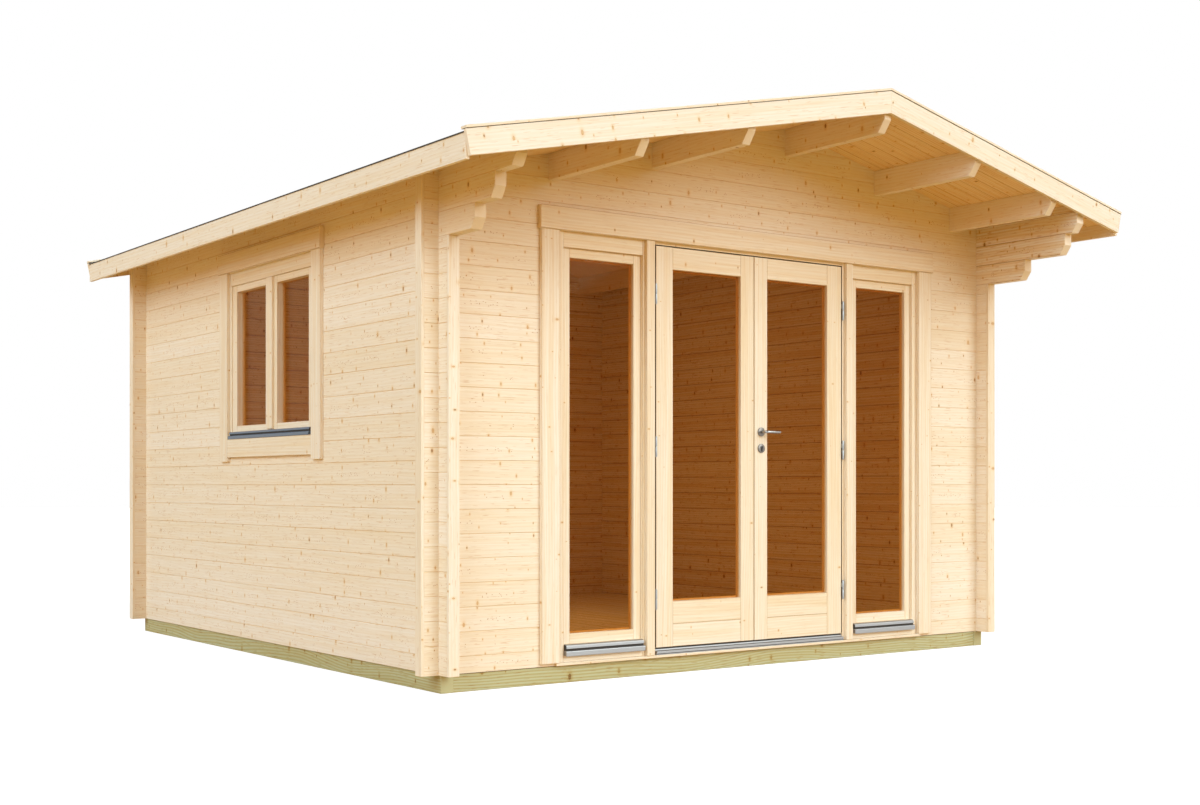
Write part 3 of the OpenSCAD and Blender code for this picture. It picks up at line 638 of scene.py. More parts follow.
class CHALET_OT_base(bpy.types.Operator):
    """Adds the treated beams and bearers and the floor boards"""
    bl_idname = "chalet.add_base"
    bl_label = "Base and floor"

    def execute(self, context):
        beam, bearer, bearers, edge = 68, 45, 6, 3
        sides = lo, hi = span("foundation_side_beams")
        boards = [((x, lo.y, 0), (x + beam, hi.y, hi.z)) for x in (lo.x, hi.x - beam)]
        boarding(21, "side_beams", "treated", "treated_timber", "foundation_side_beams", boards, Y, Z, edge)
        ends = lo, hi = span("foundation_end_beams")
        boards = [((lo.x, y, 0), (hi.x, y + beam, hi.z)) for y in (lo.y, hi.y - beam)]
        boarding(22, "end_beams", "treated", "treated_timber", "foundation_end_beams", boards, X, Z, edge)
        self.painted_shadow_strips(ends, sides)
        lo, hi = span("floor_bearers")
        steps = [lo.y + i * (hi.y - bearer - lo.y) / (bearers - 1) for i in range(bearers)]
        boards = [((lo.x, y, 0), (hi.x, y + bearer, hi.z)) for y in steps]
        boarding(23, "bearers", "treated", "treated_timber", "floor_bearers", boards, X, Z, edge)
        self.floor()
        return {"FINISHED"}

    def painted_shadow_strips(self, ends, sides):
        """Dark strips on the beams: a painted shadow, which shows as a thin line under the walls."""
        out, thick, mesh = 1.5, 2.5, bmesh.new()
        (lo, hi), (side_lo, side_hi) = ends, sides
        for a, b in (((lo.x - out, lo.y - out), (hi.x + out, lo.y + 60)),
                     ((lo.x - out, hi.y - 60), (hi.x + out, hi.y + out)),
                     ((side_lo.x - out, side_lo.y), (side_lo.x + 50, side_hi.y)),
                     ((side_hi.x - 50, side_lo.y), (side_hi.x + out, side_hi.y))):
            merge(mesh, block((*a, hi.z - thick), (*b, hi.z)))
        piece_from(mesh, "painted_shadow_strips", ["seal"], "treated_timber", "chalet")

    def floor(self):
        lo, hi = span("floor_boards")
        width = settings("board").floor_board / MM
        boards, x = [], lo.x
        while x < hi.x - 1:
            boards.append(((x, lo.y, lo.z), (min(x + width, hi.x), hi.y, hi.z)))
            x += width
        boarding(24, "floor_planks", "floor", "spruce_boards", "floor_boards", boards, Y, X, 1)


# ---------------------------------------------------------------- walls

def corbel_base(shift):
    """Height of the joint under the first corbel."""
    log = settings("log")
    return (log.first_joint + CORBEL_LOG * log.log_height) / MM + shift


def side_logs(timber, x, shift, reach, opening=None):
    """Logs of a side wall: each runs through to its corbel or to the wall's own ends."""
    step = settings("log").log_height / MM
    base = corbel_base(shift)
    top = max(roof_under(x), roof_under(x + LOG_T))
    back = span("left_wall")[1].y
    for z0, z1 in courses(BEAM_TOP, top, shift):
        level = math.floor((z0 - base) / step + 0.5)
        front = -reach[min(level, 2)] if level >= 0 else 0.0
        end = back if level >= 2 else WALL_D
        runs = [(front, end)]
        if opening and z0 < opening[3] - 1 and z1 > opening[2] + 1:
            runs = [(front, opening[0]), (opening[1], end)]
            if z0 < opening[2] - 1:
                timber.add(log_part(1, opening[0], opening[1], x, z0, opening[2], opening[2]), Y, Z)
        for y0, y1 in runs:
            part = log_part(1, y0, y1, x, z0, z1, top)
            if 0 <= level <= 2 and y0 == front:
                cut(part, (0, y0, z0 + CORBEL_RISE), (0, -CORBEL_RISE, -CORBEL_RUN))
            if level == 2 and y1 == end:
                cut(part, (0, y1, z0 + CORBEL_RISE), (0, CORBEL_RISE, -CORBEL_RUN))
            timber.add(under_roof(part), Y, Z)
    for y0, y1, limit in ((-STUB, 0, base), (WALL_D, WALL_D + STUB, base + 2 * step)):
        for z0, z1 in courses(BEAM_TOP, limit, step / 2 + shift):
            timber.add(log_part(1, y0, y1, x, z0, z1, limit), Y, Z)


def cross_logs(timber, y, x0, x1, z0, z1, stubs):
    """Logs of a front or back wall between the side walls, and their stubs outside."""
    for low, high in courses(z0, z1):
        part = log_part(0, x0, x1, y, low, high, RIDGE_Z)
        if high > OPEN_TOP + 1:
            under_roof(part)
        timber.add(part, X, Z)
    for start, end in stubs:
        limit = min(z1, roof_under(start if start < 0 else end) - 5)
        for low, high in courses(z0, limit, settings("log").log_height / MM / 2):
            timber.add(log_part(0, start, end, y, low, high, limit), X, Z)


class CHALET_OT_walls(bpy.types.Operator):
    """Adds the log walls with their corbels, lapped log ends and the boards that cover them"""
    bl_idname = "chalet.add_walls"
    bl_label = "Log walls"

    def execute(self, context):
        lo, hi = span("window_frame")
        opening = (round(lo.y), round(hi.y), round(lo.z), OPEN_TOP)
        timber = Timber(3)
        side_logs(timber, 0, 0, LEFT_REACH, opening)
        timber.finish_wall("left_wall_logs", "left_wall")
        timber = Timber(4)
        side_logs(timber, WALL_W - LOG_T, settings("log").right_shift / MM, RIGHT_REACH)
        timber.finish_wall("right_wall_logs", "right_wall")
        in_l, in_r = LOG_T, WALL_W - LOG_T
        left, right = (-STUB, 0), (WALL_W, WALL_W + STUB)
        for seed, name, node, y, x0, x1, z0, z1, stubs in (
                (5, "back_wall_logs", "back_wall", WALL_D - LOG_T, in_l, in_r, BEAM_TOP, RIDGE_Z,
                 (left, right)),
                (6, "front_left_logs", "front_wall_left", 0, in_l, OPEN_L, BEAM_TOP, OPEN_TOP, (left,)),
                (7, "front_right_logs", "front_wall_right", 0, OPEN_R, in_r, BEAM_TOP, OPEN_TOP, (right,)),
                (8, "front_gable_logs", "front_gable", 0, in_l, in_r, OPEN_TOP, RIDGE_Z, (left, right))):
            timber = Timber(seed)
            cross_logs(timber, y, x0, x1, z0, z1, stubs)
            timber.finish_wall(name, node)
        self.cover_boards()
        return {"FINISHED"}

    def cover_boards(self):
        """Upright boards over the log ends at all four corners."""
        timber = Timber(9)
        thick = 16
        log = settings("log")
        for right in (0, 1):
            x = right * (WALL_W - LOG_T)
            base = corbel_base(right * log.right_shift / MM)
            top = base + 2 * log.log_height / MM
            timber.board((x, -STUB - thick, BEAM_TOP), (x + LOG_T, -STUB, base), Z, X)
            timber.board((x, WALL_D + STUB, BEAM_TOP), (x + LOG_T, WALL_D + STUB + thick, top), Z, X)
            x_out = WALL_W + STUB if right else -STUB - thick
            z = roof_under(x_out + thick if right else x_out) - 5
            for y in (0, WALL_D - LOG_T):
                timber.board((x_out, y, BEAM_TOP), (x_out + thick, y + LOG_T, z), Z, Y)
        timber.finish("log_end_covers", ["trim"], "spruce_trim", "corner_boards")


# ---------------------------------------------------------------- roof

def slope_matrix(side):
    """Local X runs down the slope from the ridge, local Z is square to it."""
    down, up = down_slope(side).normalized(), square_up(side).normalized()
    return Matrix(((down.x, 0, up.x, RIDGE_X), (down.y, side, up.y, 0),
                   (down.z, 0, up.z, RIDGE_Z), (0, 0, 0, 1)))


def slope_strip(x_out, low, high, y0, y1):
    """A strip over the whole slope: heights low to high over the boards' underside, both ends plumb."""
    at_end = roof_under(x_out)
    return prism([(RIDGE_X, RIDGE_Z + low), (x_out, at_end + low),
                  (x_out, at_end + high), (RIDGE_X, RIDGE_Z + high)], 1, y0, y1)


def barge_end(side):
    return EAVE_L - 10 if side < 0 else EAVE_R + 10


class CHALET_OT_roof(bpy.types.Operator):
    """Adds purlins, roof boards, felt, fascias, bargeboards and their cover strips"""
    bl_idname = "chalet.add_roof"
    bl_label = "Roof"

    def execute(self, context):
        self.purlins(12, "ridge_purlin", 150, (2182,))
        self.purlins(12, "left_purlins", 132, (635, 1270))
        self.purlins(13, "right_purlins", 132, (3498, 2867))
        for side, word in ((-1, "left"), (1, "right")):
            self.boards(side, word)
            self.barges(side, word)
        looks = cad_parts["roof_insulation"].data.materials
        looks.clear()
        looks.append(MATERIALS["insulation"])
        self.felt()
        self.fascias()
        self.caps()
        return {"FINISHED"}

    def purlins(self, seed, node, height, places):
        """Purlins with their undersides cut back at both ends."""
        timber = Timber(seed)
        half, run, rise = 24, 44, 62
        lo, hi = span(node)
        for x in places:
            z0 = roof_under(x) - height
            part = prism([(lo.y + run, z0), (lo.y, z0 + rise), (lo.y, RIDGE_Z), (hi.y, RIDGE_Z),
                          (hi.y, z0 + rise), (hi.y - run, z0)], 0, x - half, x + half)
            timber.add(soften(under_roof(part), 2), Y, Z)
        timber.finish(node + "_timber", ["trim"], "spruce_trim", node)

    def boards(self, side, word):
        """Roof boards with a V joint on the underside, laid one by one from front to back."""
        node = word + "_roof_boards"
        lo, hi = span(node)
        timber = Timber(31 + side)
        width, low, joint, top = settings("roof").board / MM, 0.3, 3, 19
        x_out = lo.x if side < 0 else hi.x
        run = abs(x_out - RIDGE_X) / math.cos(math.atan(slope(side)))
        y = lo.y
        while y < hi.y - 1:
            y1 = min(y + width, hi.y)
            part = prism([(y + joint, low), (y1 - joint, low), (y1, low + joint), (y1, top), (y, top),
                          (y, low + joint)], 0, -12, run + 12)
            if side < 0:
                bmesh.ops.scale(part, vec=(1, -1, 1), verts=part.verts)
                bmesh.ops.reverse_faces(part, faces=part.faces)
            part.transform(slope_matrix(side))
            cut(part, (RIDGE_X, 0, 0), (-side, 0, 0))
            cut(part, (x_out, 0, 0), (side, 0, 0))
            timber.add(part, down_slope(side), Y)
            y = y1
        timber.finish(word + "_roof_planks", ["boards"], "spruce_boards", node)

    def barges(self, side, word):
        timber = Timber(41 + side)
        tilt = math.atan(slope(side))
        width, thick, up = 112, 20, 53.4
        down = width / math.cos(tilt) - 55.0
        x_end = barge_end(side)
        x_low = x_end - side * width * math.sin(tilt)
        outline = [(RIDGE_X, RIDGE_Z + up), (x_end, roof_under(x_end) + up),
                   (x_low, roof_under(x_low) - down), (RIDGE_X, RIDGE_Z - down)]
        for y in (VERGE_F, VERGE_B - thick):
            timber.add(soften(prism(outline, 1, y, y + thick), 1.5), down_slope(side), square_up(side))
        timber.finish(word + "_bargeboard_planks", ["trim"], "spruce_trim", word + "_bargeboards")

    def felt(self):
        """Lapped sheets with nailed laps, a ridge sheet, and the edge under the cover strips."""
        mesh, nails = bmesh.new(), bmesh.new()
        lo, hi = span("roofing_felt")
        width, lap, thick = settings("roof").sheet / MM, 80, 1.2
        first_nail, nail_step = 90, 100
        ridge_w, ridge_low, ridge_high = 160, 48.6, 50.0
        for side in (-1, 1):
            x_out = lo.x if side < 0 else hi.x
            run = abs(x_out - RIDGE_X)
            start, level = 0.0, 0
            while start < run - 1:
                low = RIDGE_X + side * (run - start)
                high = RIDGE_X + side * max(run - start - width - lap, 0)
                z0 = 46.0 + 1.3 * (level % 2)
                merge(mesh, prism([(low, roof_under(low) + z0), (low, roof_under(low) + z0 + thick),
                                   (high, roof_under(high) + z0 + thick), (high, roof_under(high) + z0)],
                                  1, lo.y, hi.y))
                if level:
                    x = low - side * 30
                    for i in range(int((hi.y - lo.y - 160) / nail_step) + 1):
                        place = (x, lo.y + first_nail + i * nail_step, roof_under(x) + 48.8)
                        merge(nails, round_bar(4.5, 1.2, place))
                start, level = start + width, level + 1
            x, z = RIDGE_X + side * ridge_w, RIDGE_Z - ridge_w * slope(side)
            merge(mesh, prism([(RIDGE_X, RIDGE_Z + ridge_low), (RIDGE_X, RIDGE_Z + ridge_high),
                               (x, z + ridge_high), (x, z + ridge_low)], 1, lo.y, hi.y))
            x0, x1 = sorted((x_out, x_out - side * 3))
            z = roof_under(x_out)
            merge(mesh, block((x0, lo.y, z + 42), (x1, hi.y, z + 46.2)))
            for y in (VERGE_F - 1.5, VERGE_B - 30):
                merge(mesh, slope_strip(barge_end(side), 53.5, 55.2, y, y + 31.5))
        piece_from(mesh, "felt_sheets", ["felt"], "roofing_felt", "chalet", "roofing_felt")
        piece_from(nails, "felt_nails", ["zinc"], "steel", "chalet")

    def fascias(self):
        lo, hi = span("eave_fascias")
        boards = []
        for side, x in ((-1, EAVE_L), (1, EAVE_R)):
            x0, x1 = sorted((x, x - side * 20))
            z1 = roof_under(x) + 45.6
            boards.append(((x0, lo.y, z1 - 115), (x1, hi.y, z1)))
        boarding(51, "fascia_planks", "trim", "spruce_trim", "eave_fascias", boards, Y, Z)

    def caps(self):
        """Strips that cover the upper edges of the bargeboards."""
        timber = Timber(61)
        width, past = 45, 4
        for side in (-1, 1):
            for y in (VERGE_F - past, VERGE_B + past - width):
                part = soften(slope_strip(barge_end(side), 55.3, 67.2, y, y + width), 1.5)
                timber.add(part, down_slope(side), Y)
        timber.finish("barge_cap_strips", ["trim"], "spruce_trim", "barge_caps")


# ---------------------------------------------------------------- joinery

def spot(wall, a, depth, z):
    """A place on the front wall (a is x) or on the left wall (a is y)."""
    return (a, depth, z) if wall == "front" else (depth, a, z)


def both_ends(at, side, near, far):
    """Two places at one side of a middle, the lower first."""
    return sorted((at + side * near, at + side * far))


def member(timber, wall, a0, a1, z0, z1, d0, d1, edge=None):
    """One upright or level board of a frame, whichever way it is longer."""
    flat = X if wall == "front" else Y
    along, across = (Z, flat) if z1 - z0 > a1 - a0 else (flat, Z)
    timber.board(spot(wall, a0, d0, z0), spot(wall, a1, d1, z1), along, across, edge)


def ring(timber, wall, outer, inner, d0, d1, split=0):
    """Stiles and rails round an opening: outer and inner are (a0, z0, a1, z1)."""
    a0, z0, a1, z1 = outer
    b0, y0, b1, y1 = inner
    boards = [(a0, b0, z0, z1), (b1, a1, z0, z1), (b0, b1, y1, z1)]
    if split:
        boards.append((b0, b1, z0, z0 + split))
    boards.append((b0, b1, z0 + split, y0))
    for board in boards:
        member(timber, wall, *board, d0, d1)


def beads(timber, opening, depth):
    """Mitred glazing beads on the inner side of a pane in the front."""
    x0, z0, x1, z1 = opening
    profile = [(0, 0), (9, 0), (9, 3), (3, 10), (0, 10)]
    for inward, edge in ((1, z0), (-1, z1)):
        part = prism([(depth + deep, edge + inward * step) for step, deep in profile], 0, x0, x1)
        cut(part, (x0, 0, edge), (-1, 0, inward))
        cut(part, (x1, 0, edge), (1, 0, inward))
        timber.add(part, X, Z)
    for inward, edge in ((1, x0), (-1, x1)):
        part = prism([(edge + inward * step, depth + deep) for step, deep in profile], 2, z0, z1)
        cut(part, (edge, 0, z0), (inward, 0, -1))
        cut(part, (edge, 0, z1), (inward, 0, 1))
        timber.add(part, Z, X)


def pane(mesh, wall, opening, depth):
    """A pane of two sheets, let 6 mm into the wood all round."""
    a0, z0, a1, z1 = opening
    sheet, let_in = 4, 6
    for low in (depth, depth + PANE_T - sheet):
        merge(mesh, block(spot(wall, a0 - let_in, low, z0 - let_in),
                          spot(wall, a1 + let_in, low + sheet, z1 + let_in)))


class CHALET_OT_front(bpy.types.Operator):
    """Adds the door frame with both side lights, their casings, sill and threshold"""
    bl_idname = "chalet.add_front"
    bl_label = "Glazed front"

    def execute(self, context):
        self.surround()
        boarding(72, "sill_board", "trim", "joinery", "front_sill", [span("front_sill")], X, Y, 1.5)
        boarding(73, "head_casing_board", "casing", "spruce_trim", "front_head_casing",
                 [span("front_head_casing")], X, Z)
        timber = Timber(74)
        lo, hi = span("front_side_casings")
        for side in (-1, 1):
            for near, far in (CASING, POST_COVER):
                member(timber, "front", *both_ends(FRONT_X, side, near, far), lo.z, hi.z, -CASING_T, 0)
        timber.finish("casing_boards", ["casing"], "spruce_trim", "front_side_casings")
        self.side_lights()
        self.threshold()
        return {"FINISHED"}

    def surround(self):
        """Posts, rails and head of the frame, with a stop behind the leaves."""
        timber = Timber(71)
        lo, hi = span("door_frame")
        seat, stop, stop_y = 0.3, 12, 49
        inner, outer = SASH_IN - seat, SASH_OUT + seat
        for side in (-1, 1):
            for near, far, z0, z1 in ((outer, hi.x - FRONT_X, lo.z, hi.z), (DOOR_HALF, inner, lo.z, hi.z),
                                      (inner, outer, lo.z, SASH_Z[0] - seat),
                                      (inner, outer, SASH_Z[1] + seat, hi.z)):
                member(timber, "front", *both_ends(FRONT_X, side, near, far), z0, z1, 0, FRAME_T)
            member(timber, "front", *both_ends(FRONT_X, side, DOOR_HALF - stop, DOOR_HALF),
                   144, DOOR_TOP - stop, stop_y, FRAME_T, 1)
        left, right = FRONT_X - DOOR_HALF, FRONT_X + DOOR_HALF
        member(timber, "front", left, right, DOOR_TOP, hi.z, 0, FRAME_T)
        member(timber, "front", left, right, DOOR_TOP - stop, DOOR_TOP, stop_y, FRAME_T, 1)
        timber.finish("door_surround", ["joinery"], "joinery", "door_frame")

    def side_lights(self):
        """Sashes beside the doors, and all panes that don't move."""
        timber = Timber(75)
        glazing = bmesh.new()
        stile, foot, pane_y = 46, 50, 30
        for side in (-1, 1):
            x0, x1 = both_ends(FRONT_X, side, SASH_IN, SASH_OUT)
            opening = (x0 + stile, SASH_Z[0] + foot, x1 - stile, SASH_Z[1] - stile)
            ring(timber, "front", (x0, SASH_Z[0], x1, SASH_Z[1]), opening, 16, 56)
            beads(timber, opening, pane_y + PANE_T)
            pane(glazing, "front", opening, pane_y)
        timber.finish("side_light_frames", ["joinery"], "joinery", "side_light_sashes")
        for end in (-1, 1):
            y0, y1 = both_ends(WIN_Y, end, *WIN_PANE)
            pane(glazing, "left", (y0, WIN_PANE_Z[0], y1, WIN_PANE_Z[1]), 42)
        piece_from(glazing, "fixed_panes", ["glass"], "glass", "chalet", "fixed_glass")

    def threshold(self):
        """A metal step between the posts, with a thin dark sheet along its front that paints the shade of a
        slot.
        """
        mesh = bmesh.new()
        lo, hi = span("door_threshold")
        outline = [(-14, 99), (44, 99), (44, 128), (4, 128), (0, 121), (-14, 118)]
        merge(mesh, soften(prism(outline, 0, lo.x, hi.x), 1))
        # A thin dark sheet on the front face: the painted shade of a slot
        merge(mesh, block((lo.x + 1, -14.3, 103.5), (hi.x - 1, -13.8, 107)), slot=1)
        piece_from(mesh, "threshold_strip", ["aluminium", "seal"], "aluminium", "chalet", "door_threshold")


class CHALET_OT_window(bpy.types.Operator):
    """Adds the side window with its two sashes, casings, board and drip profiles"""
    bl_idname = "chalet.add_window"
    bl_label = "Side window"

    def execute(self, context):
        lo, hi = span("window_frame")
        timber = Timber(81)
        ring(timber, "left", (lo.y, lo.z, hi.y, hi.z),
             (WIN_Y - WIN_HALF, WIN_Z[0], WIN_Y + WIN_HALF, WIN_Z[1]), 0, FRAME_T)
        timber.finish("window_surround", ["joinery"], "joinery", "window_frame")
        timber = Timber(82)
        for end in (-1, 1):
            y0, y1 = both_ends(WIN_Y, end, 2, WIN_HALF)
            pane0, pane1 = both_ends(WIN_Y, end, *WIN_PANE)
            ring(timber, "left", (y0, WIN_Z[0], y1, WIN_Z[1]),
                 (pane0, WIN_PANE_Z[0], pane1, WIN_PANE_Z[1]), 8, FRAME_T)
        timber.finish("window_sash_frames", ["joinery"], "joinery", "window_sashes")
        for seed, node, name, along, across in ((17, "window_head_casing", "window_head_board", Y, Z),
                                                (17, "window_board", "window_sill_board", Y, Z),
                                                (13, "window_cover_strip", "meeting_strip", Z, Y)):
            boarding(seed, name, "casing", "spruce_trim", node, [span(node)], along, across)
        timber = Timber(83)
        lo, hi = span("window_side_casings")
        for end in (-1, 1):
            member(timber, "left", *both_ends(WIN_Y, end, *WIN_CASING), lo.z, hi.z, -CASING_T, 0)
        timber.finish("window_side_boards", ["casing"], "spruce_trim", "window_side_casings")
        self.drips()
        return {"FINISHED"}

    def drips(self):
        mesh = bmesh.new()
        for side in (-1, 1):
            self.drip(mesh, 129, SASH_Z[0], 0, *both_ends(FRONT_X, side, SASH_IN, SASH_OUT), 0)
        self.drip(mesh, 1229, WIN_Z[0], 1, WIN_Y - WIN_HALF, WIN_Y + WIN_HALF, 1)
        piece_from(mesh, "drip_bars", ["aluminium", "slate", "seal"], "aluminium", "chalet",
                   "drip_profiles")

    def drip(self, mesh, low, high, axis, start, end, slot):
        """A hood over a nose, with a dark fill in the gap between them as painted shade, and a dark web at
        one end.
        """
        mid = low + (high - low) * 0.55
        hood = [(2, high), (-8, high - 1), (-15, high - 4), (-18, high - 9), (-18.5, mid + 6),
                (-17, mid + 5), (2, mid + 5)]
        nose = [(2, mid - 4), (-17, mid - 4), (-22.5, mid - 7), (-24, mid - 10), (-24, low + 3),
                (-22.5, low), (-20, low + 3), (2, low + 3)]
        # The dark fill in the gap between hood and nose is painted shade
        gap_shade = [(0, mid - 5), (-13, mid - 5), (-13, mid + 6), (0, mid + 6)]
        web = [(0, low + 4), (-17, low + 4), (-16, high - 6), (0, high - 2)]
        for outline, a, b, look in ((hood, start + 4, end - 4, slot), (nose, start, end, slot),
                                    (gap_shade, start + 3, end - 3, 2), (web, start + 1, start + 5, 2)):
            merge(mesh, prism(outline, axis, a, b), look)


# ---------------------------------------------------------------- doors

class CHALET_OT_doors(bpy.types.Operator):
    """Adds both door leaves with their panes, hinges, plates and the lever"""
    bl_idname = "chalet.add_doors"
    bl_label = "Doors"

    def execute(self, context):
        foot, head, rail, pane_y = 232, 113, 116, 14
        for word, stiles in (("left", (110, 92)), ("right", (92, 110))):
            lo, hi = span(word + "_door_leaf")
            opening = (lo.x + stiles[0], lo.z + foot, hi.x - stiles[1], hi.z - head)
            timber = Timber(91 + stiles[0])
            ring(timber, "front", (lo.x, lo.z, hi.x, hi.z), opening, 0, LEAF_T, split=rail)
            beads(timber, opening, pane_y + PANE_T)
            body = word + "_leaf"
            timber.finish(body + "_frame", ["joinery"], "joinery", word + "_door_leaf", body)
            glazing = bmesh.new()
            pane(glazing, "front", opening, pane_y)
            piece_from(glazing, body + "_pane", ["glass"], "glass", body, word + "_door_glass")
        self.seals()
        self.hinges()
        self.plates()
        self.lever()
        return {"FINISHED"}

    def seals(self):
        """Thin dark sheets near the front of the gaps round the leaves, painted shade in the gaps; the
        strip under each leaf is also its bottom seal.
        """
        thick, front, back = 0.4, 0.5, 14
        mesh = bmesh.new()
        # Painted shade: dark sheets in the gaps over and beside the leaves
        merge(mesh, block((FRONT_X - DOOR_HALF + 1, front, DOOR_TOP - thick),
                          (FRONT_X + DOOR_HALF - 1, back, DOOR_TOP)))
        for side in (-1, 1):
            x0, x1 = both_ends(FRONT_X, side, DOOR_HALF, DOOR_HALF - thick)
            merge(mesh, block((x0, front, 140), (x1, back, DOOR_TOP - 1)))
        piece_from(mesh, "frame_seals", ["seal"], "joinery", "chalet")
        for word in ("left", "right"):
            lo, hi = span(word + "_door_leaf")
            mesh = bmesh.new()
            # Painted shade on the left leaf's edge, and under each leaf a bottom seal that also paints the
            # gap's shade
            if word == "left":
                merge(mesh, block((lo.x - thick, front, lo.z + 2), (lo.x, 11, hi.z - 2)))
            merge(mesh, block((lo.x + 1, 6, lo.z - 6.5), (hi.x - 1, 20, lo.z)))
            piece_from(mesh, word + "_leaf_seals", ["seal"], "joinery", word + "_leaf")

    def hinges(self):
        """Barrel hinges: the lower halves on the frame, the upper halves on the leaves."""
        off, y = span("frame_hinges")[1].x - FRONT_X - 7, -8
        for name, body, node, sides, low, high, out in (
                ("frame_barrels", "chalet", "frame_hinges", (-1, 1), -49, -1, 1),
                ("left_leaf_barrels", "left_leaf", "left_leaf_hinges", (-1,), 1, 49, -1),
                ("right_leaf_barrels", "right_leaf", "right_leaf_hinges", (1,), 1, 49, -1)):
            mesh = bmesh.new()
            for side in sides:
                x = FRONT_X + side * off
                x0, x1 = both_ends(x, side * out, 1.5, 6.5)
                for z in (381, 1157, 1933):
                    barrel = round_bar(6.0, high - low, (x, y, z + (low + high) / 2))
                    merge(mesh, soften(barrel, 1.2), smooth=True)
                    tip = round_bar(4.2, 5, (x, y, z + (low - 2 if out > 0 else high + 2)))
                    merge(mesh, soften(tip, 1.5), smooth=True)
                    merge(mesh, soften(block((x0, y, z + low + 12), (x1, 0, z + high - 12)), 0.8))
            piece_from(mesh, name, ["zinc"], "steel", body, node)

    def plates(self):
        """Round plates on both faces of the right leaf, the lower ones with a lock cylinder."""
        lo, hi = span("door_rosettes")
        x, high, low = (lo.x + hi.x) / 2, hi.z - 26, lo.z + 26
        mesh = bmesh.new()
        for face, out in ((0, -1), (LEAF_T, 1)):
            for z in (high, low):
                merge(mesh, soften(round_bar(24, 7, (x, face + out * 3.5, z), True), 2.2, 3), smooth=True)
            merge(mesh, soften(round_bar(8.5, 3, (x, face + out * 8, low + 5), True), 0.6), 2, True)
            y0, y1 = both_ends(face, out, 0, 9.4)
            merge(mesh, soften(block((x - 5, y0, low - 17), (x + 5, y1, low + 1)), 0.6), 2)
            # A thin dark strip on the cylinder paints the shade of its key slot
            y0, y1 = both_ends(face, out, 0, 9.8)
            merge(mesh, block((x - 1.1, y0, low + 1), (x + 1.1, y1, low + 10)), 1)
        piece_from(mesh, "lock_plates", ["plate", "seal", "lock"], "steel", "right_leaf", "door_rosettes")

    def lever(self):
        """Bent round levers on both faces, joined by the spindle."""
        lo, hi = span("lever_handle")
        x, z = lo.x + 8.5, (lo.z + hi.z) / 2
        bend = 16
        mesh = bmesh.new()
        for mirror in (False, True):
            part = bmesh.new()
            start = bmesh.ops.create_circle(part, cap_ends=True, segments=24, radius=8)["verts"]
            turn_level(part, start)
            bmesh.ops.translate(part, vec=(0, -6, 0), verts=start)
            rim = [e for e in part.edges if len(e.link_faces) == 1]
            rim = pull(part, rim, (0, -24, 0))
            turned = bmesh.ops.spin(part, geom=rim, cent=(bend, -30, 0), axis=(0, 0, 1),
                                    angle=QUARTER, steps=8)["geom_last"]
            rim = pull(part, edges_of(turned), (hi.x - x - bend - 6, 0, 0))
            for step, shrink in ((2.5, 0.94), (2, 0.84), (1.2, 0.6)):
                rim = pull(part, rim, (step, 0, 0), shrink)
            bmesh.ops.contextual_create(part, geom=rim)
            if mirror:
                bmesh.ops.scale(part, vec=(1, -1, 1), verts=part.verts)
                bmesh.ops.translate(part, vec=(0, LEAF_T, 0), verts=part.verts)
            bmesh.ops.translate(part, vec=(x, 0, z), verts=part.verts)
            merge(mesh, part, smooth=True)
        merge(mesh, round_bar(6, 56, (x, LEAF_T / 2, z), True), smooth=True)
        piece_from(mesh, "lever_bars", ["steel"], "steel", "lever", "lever_handle")


# ---------------------------------------------------------------- stage

def put(name, data):
    holder = bpy.data.objects.new(name, data)
    bpy.context.scene.collection.objects.link(holder)
    return holder


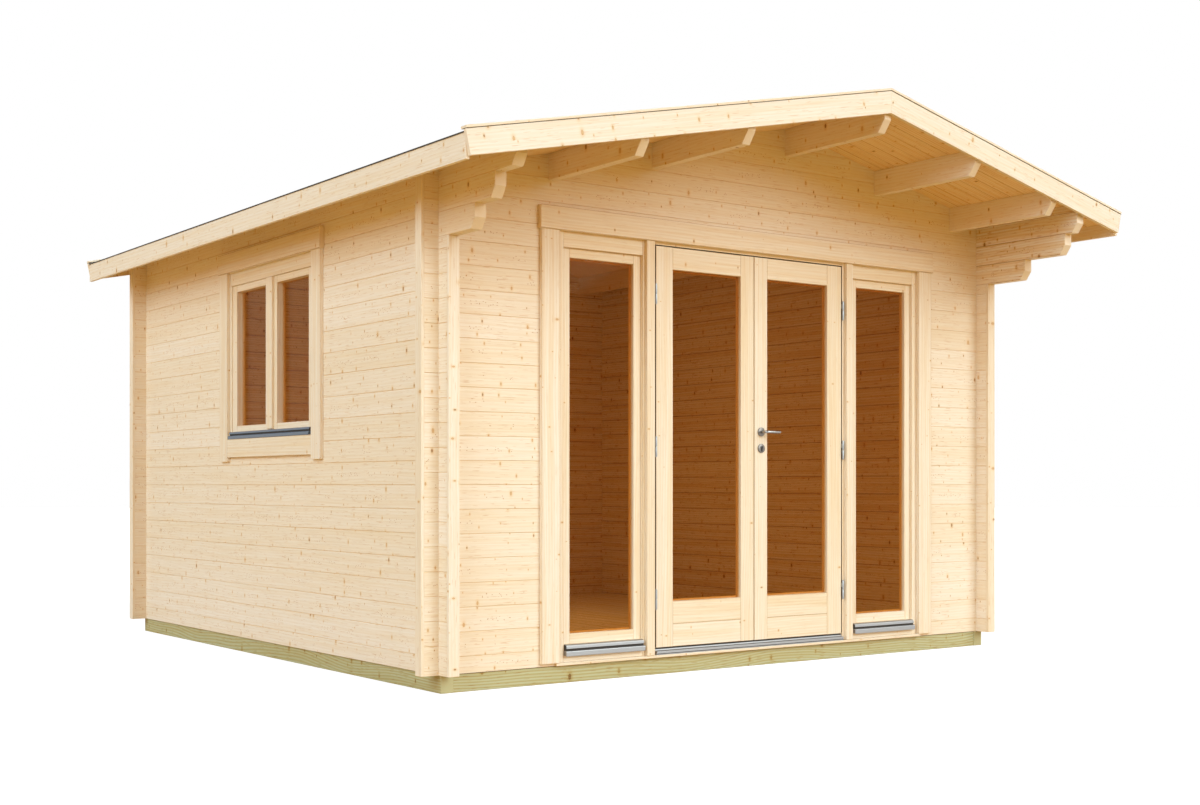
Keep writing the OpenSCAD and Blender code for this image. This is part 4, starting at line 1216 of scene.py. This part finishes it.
class CHALET_OT_stage(bpy.types.Operator):
    """Sets the floor, the light and the camera"""
    bl_idname = "chalet.set_stage"
    bl_label = "Stage"

    def execute(self, context):
        context.scene.view_settings.view_transform = "Standard"
        stage = settings("stage")
        mesh = bmesh.new()
        bmesh.ops.create_circle(mesh, cap_ends=True, segments=96, radius=60)
        data = bpy.data.meshes.new("floor")
        mesh.to_mesh(data)
        mesh.free()
        floor = put("floor", data)
        floor.location.z = -0.0005
        data.materials.append(self.floor_material())
        self.world(stage)
        for name, power, toward, tint in (
                ("front_lamp", stage.front_lamp, (-0.33, 0.80, -0.48), (0.87, 1.09, 1.22)),
                ("side_lamp", stage.side_lamp, (0.84, 0.26, -0.48), (0.82, 1.14, 1.38))):
            lamp = bpy.data.lights.new(name, "SUN")
            lamp.energy, lamp.angle, lamp.color = power, stage.lamp_width, tint
            put(name, lamp).rotation_euler = Vector(toward).to_track_quat("-Z", "Y").to_euler()
        self.room_lamp(stage.room_lamp)
        self.camera()
        return {"FINISHED"}

    def room_lamp(self, power):
        """A broad warm lamp in the middle of the room, itself unseen."""
        lamp = bpy.data.lights.new("room_lamp", "POINT")
        lamp.energy, lamp.shadow_soft_size, lamp.color = power, 0.5, (1.0, 0.78, 0.42)
        holder = put("room_lamp", lamp)
        holder.location = PLACE @ Vector((WALL_W / 2, WALL_D / 2, 1500))
        holder.visible_camera = holder.visible_glossy = holder.visible_transmission = False

    def floor_material(self):
        """White where it is seen, with the shadow; a warm matte ground for all other light."""
        material = bpy.data.materials.new("white_floor")
        nodes = Nodes(material)
        matte = nodes.fill("BsdfDiffuse", (0.62, 0.35, 0.07))
        glow = nodes.named("Emission", {"Strength": 0.80})[0]
        shown = nodes.fill("AddShader", glow, nodes.fill("BsdfDiffuse", (0.42, 0.42, 0.42)))
        nodes.output(nodes.fill("MixShader", nodes.seen(), matte, shown))
        return material

    def world(self, stage):
        """Warm light from the horizon in front, plain light from behind, white where it is seen."""
        world = bpy.data.worlds.new("sky")
        bpy.context.scene.world = world
        nodes = Nodes(world)
        x, y, z = nodes.places(nodes.make("TexCoord").outputs["Generated"])
        low = tuple(stage.horizon * c for c in (1.0, 0.46, 0.06))
        high = tuple(stage.sky * c for c in (0.92, 1.0, 1.18))
        back = tuple(stage.back_light * c for c in (1.0, 0.96, 0.88))
        behind = nodes.calc("ADD", nodes.calc("MULTIPLY", x, 0.7), y, clamp=True)
        sky = nodes.mix("MIX", behind, nodes.ramp(z, (0.0, low), (0.75, high)), back)
        light, white = nodes.fill("Background", sky), nodes.fill("Background", (1, 1, 1))
        nodes.output(nodes.fill("MixShader", nodes.seen(), light, white), "OutputWorld")

    def camera(self):
        data = bpy.data.cameras.new("camera")
        data.sensor_fit, data.sensor_width, data.lens = "HORIZONTAL", 36, 46.68
        data.shift_y = 0.0691
        data.clip_start, data.clip_end = 0.1, 200
        camera = put("camera", data)
        turn = 0.6295
        ahead = Vector((math.sin(turn), math.cos(turn), 0))
        camera.rotation_euler = ahead.to_track_quat("-Z", "Y").to_euler()
        camera.location = PLACE @ Vector((-3612, -6219.6, 960.3))
        bpy.context.scene.camera = camera


class CHALET_PT_panel(bpy.types.Panel):
    """Buttons that build the chalet, in order"""
    bl_label = "Chalet"
    bl_idname = "CHALET_PT_panel"
    bl_space_type = "VIEW_3D"
    bl_region_type = "UI"
    bl_category = "Chalet"

    def draw(self, context):
        for operator in OPERATORS:
            self.layout.operator(operator.bl_idname)
        for name in GROUPS:
            group = settings(name)
            for key in group.__annotations__:
                self.layout.prop(group, key)


GROUPS = {"log": ChaletLogSettings, "roof": ChaletRoofSettings, "board": ChaletBoardSettings,
          "colour": ChaletColourSettings, "stage": ChaletStageSettings}
OPERATORS = (CHALET_OT_base, CHALET_OT_walls, CHALET_OT_roof, CHALET_OT_front, CHALET_OT_window,
             CHALET_OT_doors, CHALET_OT_stage)
CLASSES = (*GROUPS.values(), *OPERATORS, CHALET_PT_panel)


def register():
    for cls in CLASSES:
        bpy.utils.register_class(cls)
    for name, group in GROUPS.items():
        setattr(bpy.types.Scene, "chalet_" + name, PointerProperty(type=group))


def unregister():
    for name in GROUPS:
        delattr(bpy.types.Scene, "chalet_" + name)
    for cls in reversed(CLASSES):
        bpy.utils.unregister_class(cls)


def main():
    register()
    make_materials()
    bpy.ops.chalet.add_base()
    bpy.ops.chalet.add_walls()
    bpy.ops.chalet.add_roof()
    bpy.ops.chalet.add_front()
    bpy.ops.chalet.add_window()
    bpy.ops.chalet.add_doors()
    bpy.ops.chalet.set_stage()


if __name__ == "__main__":
    main()
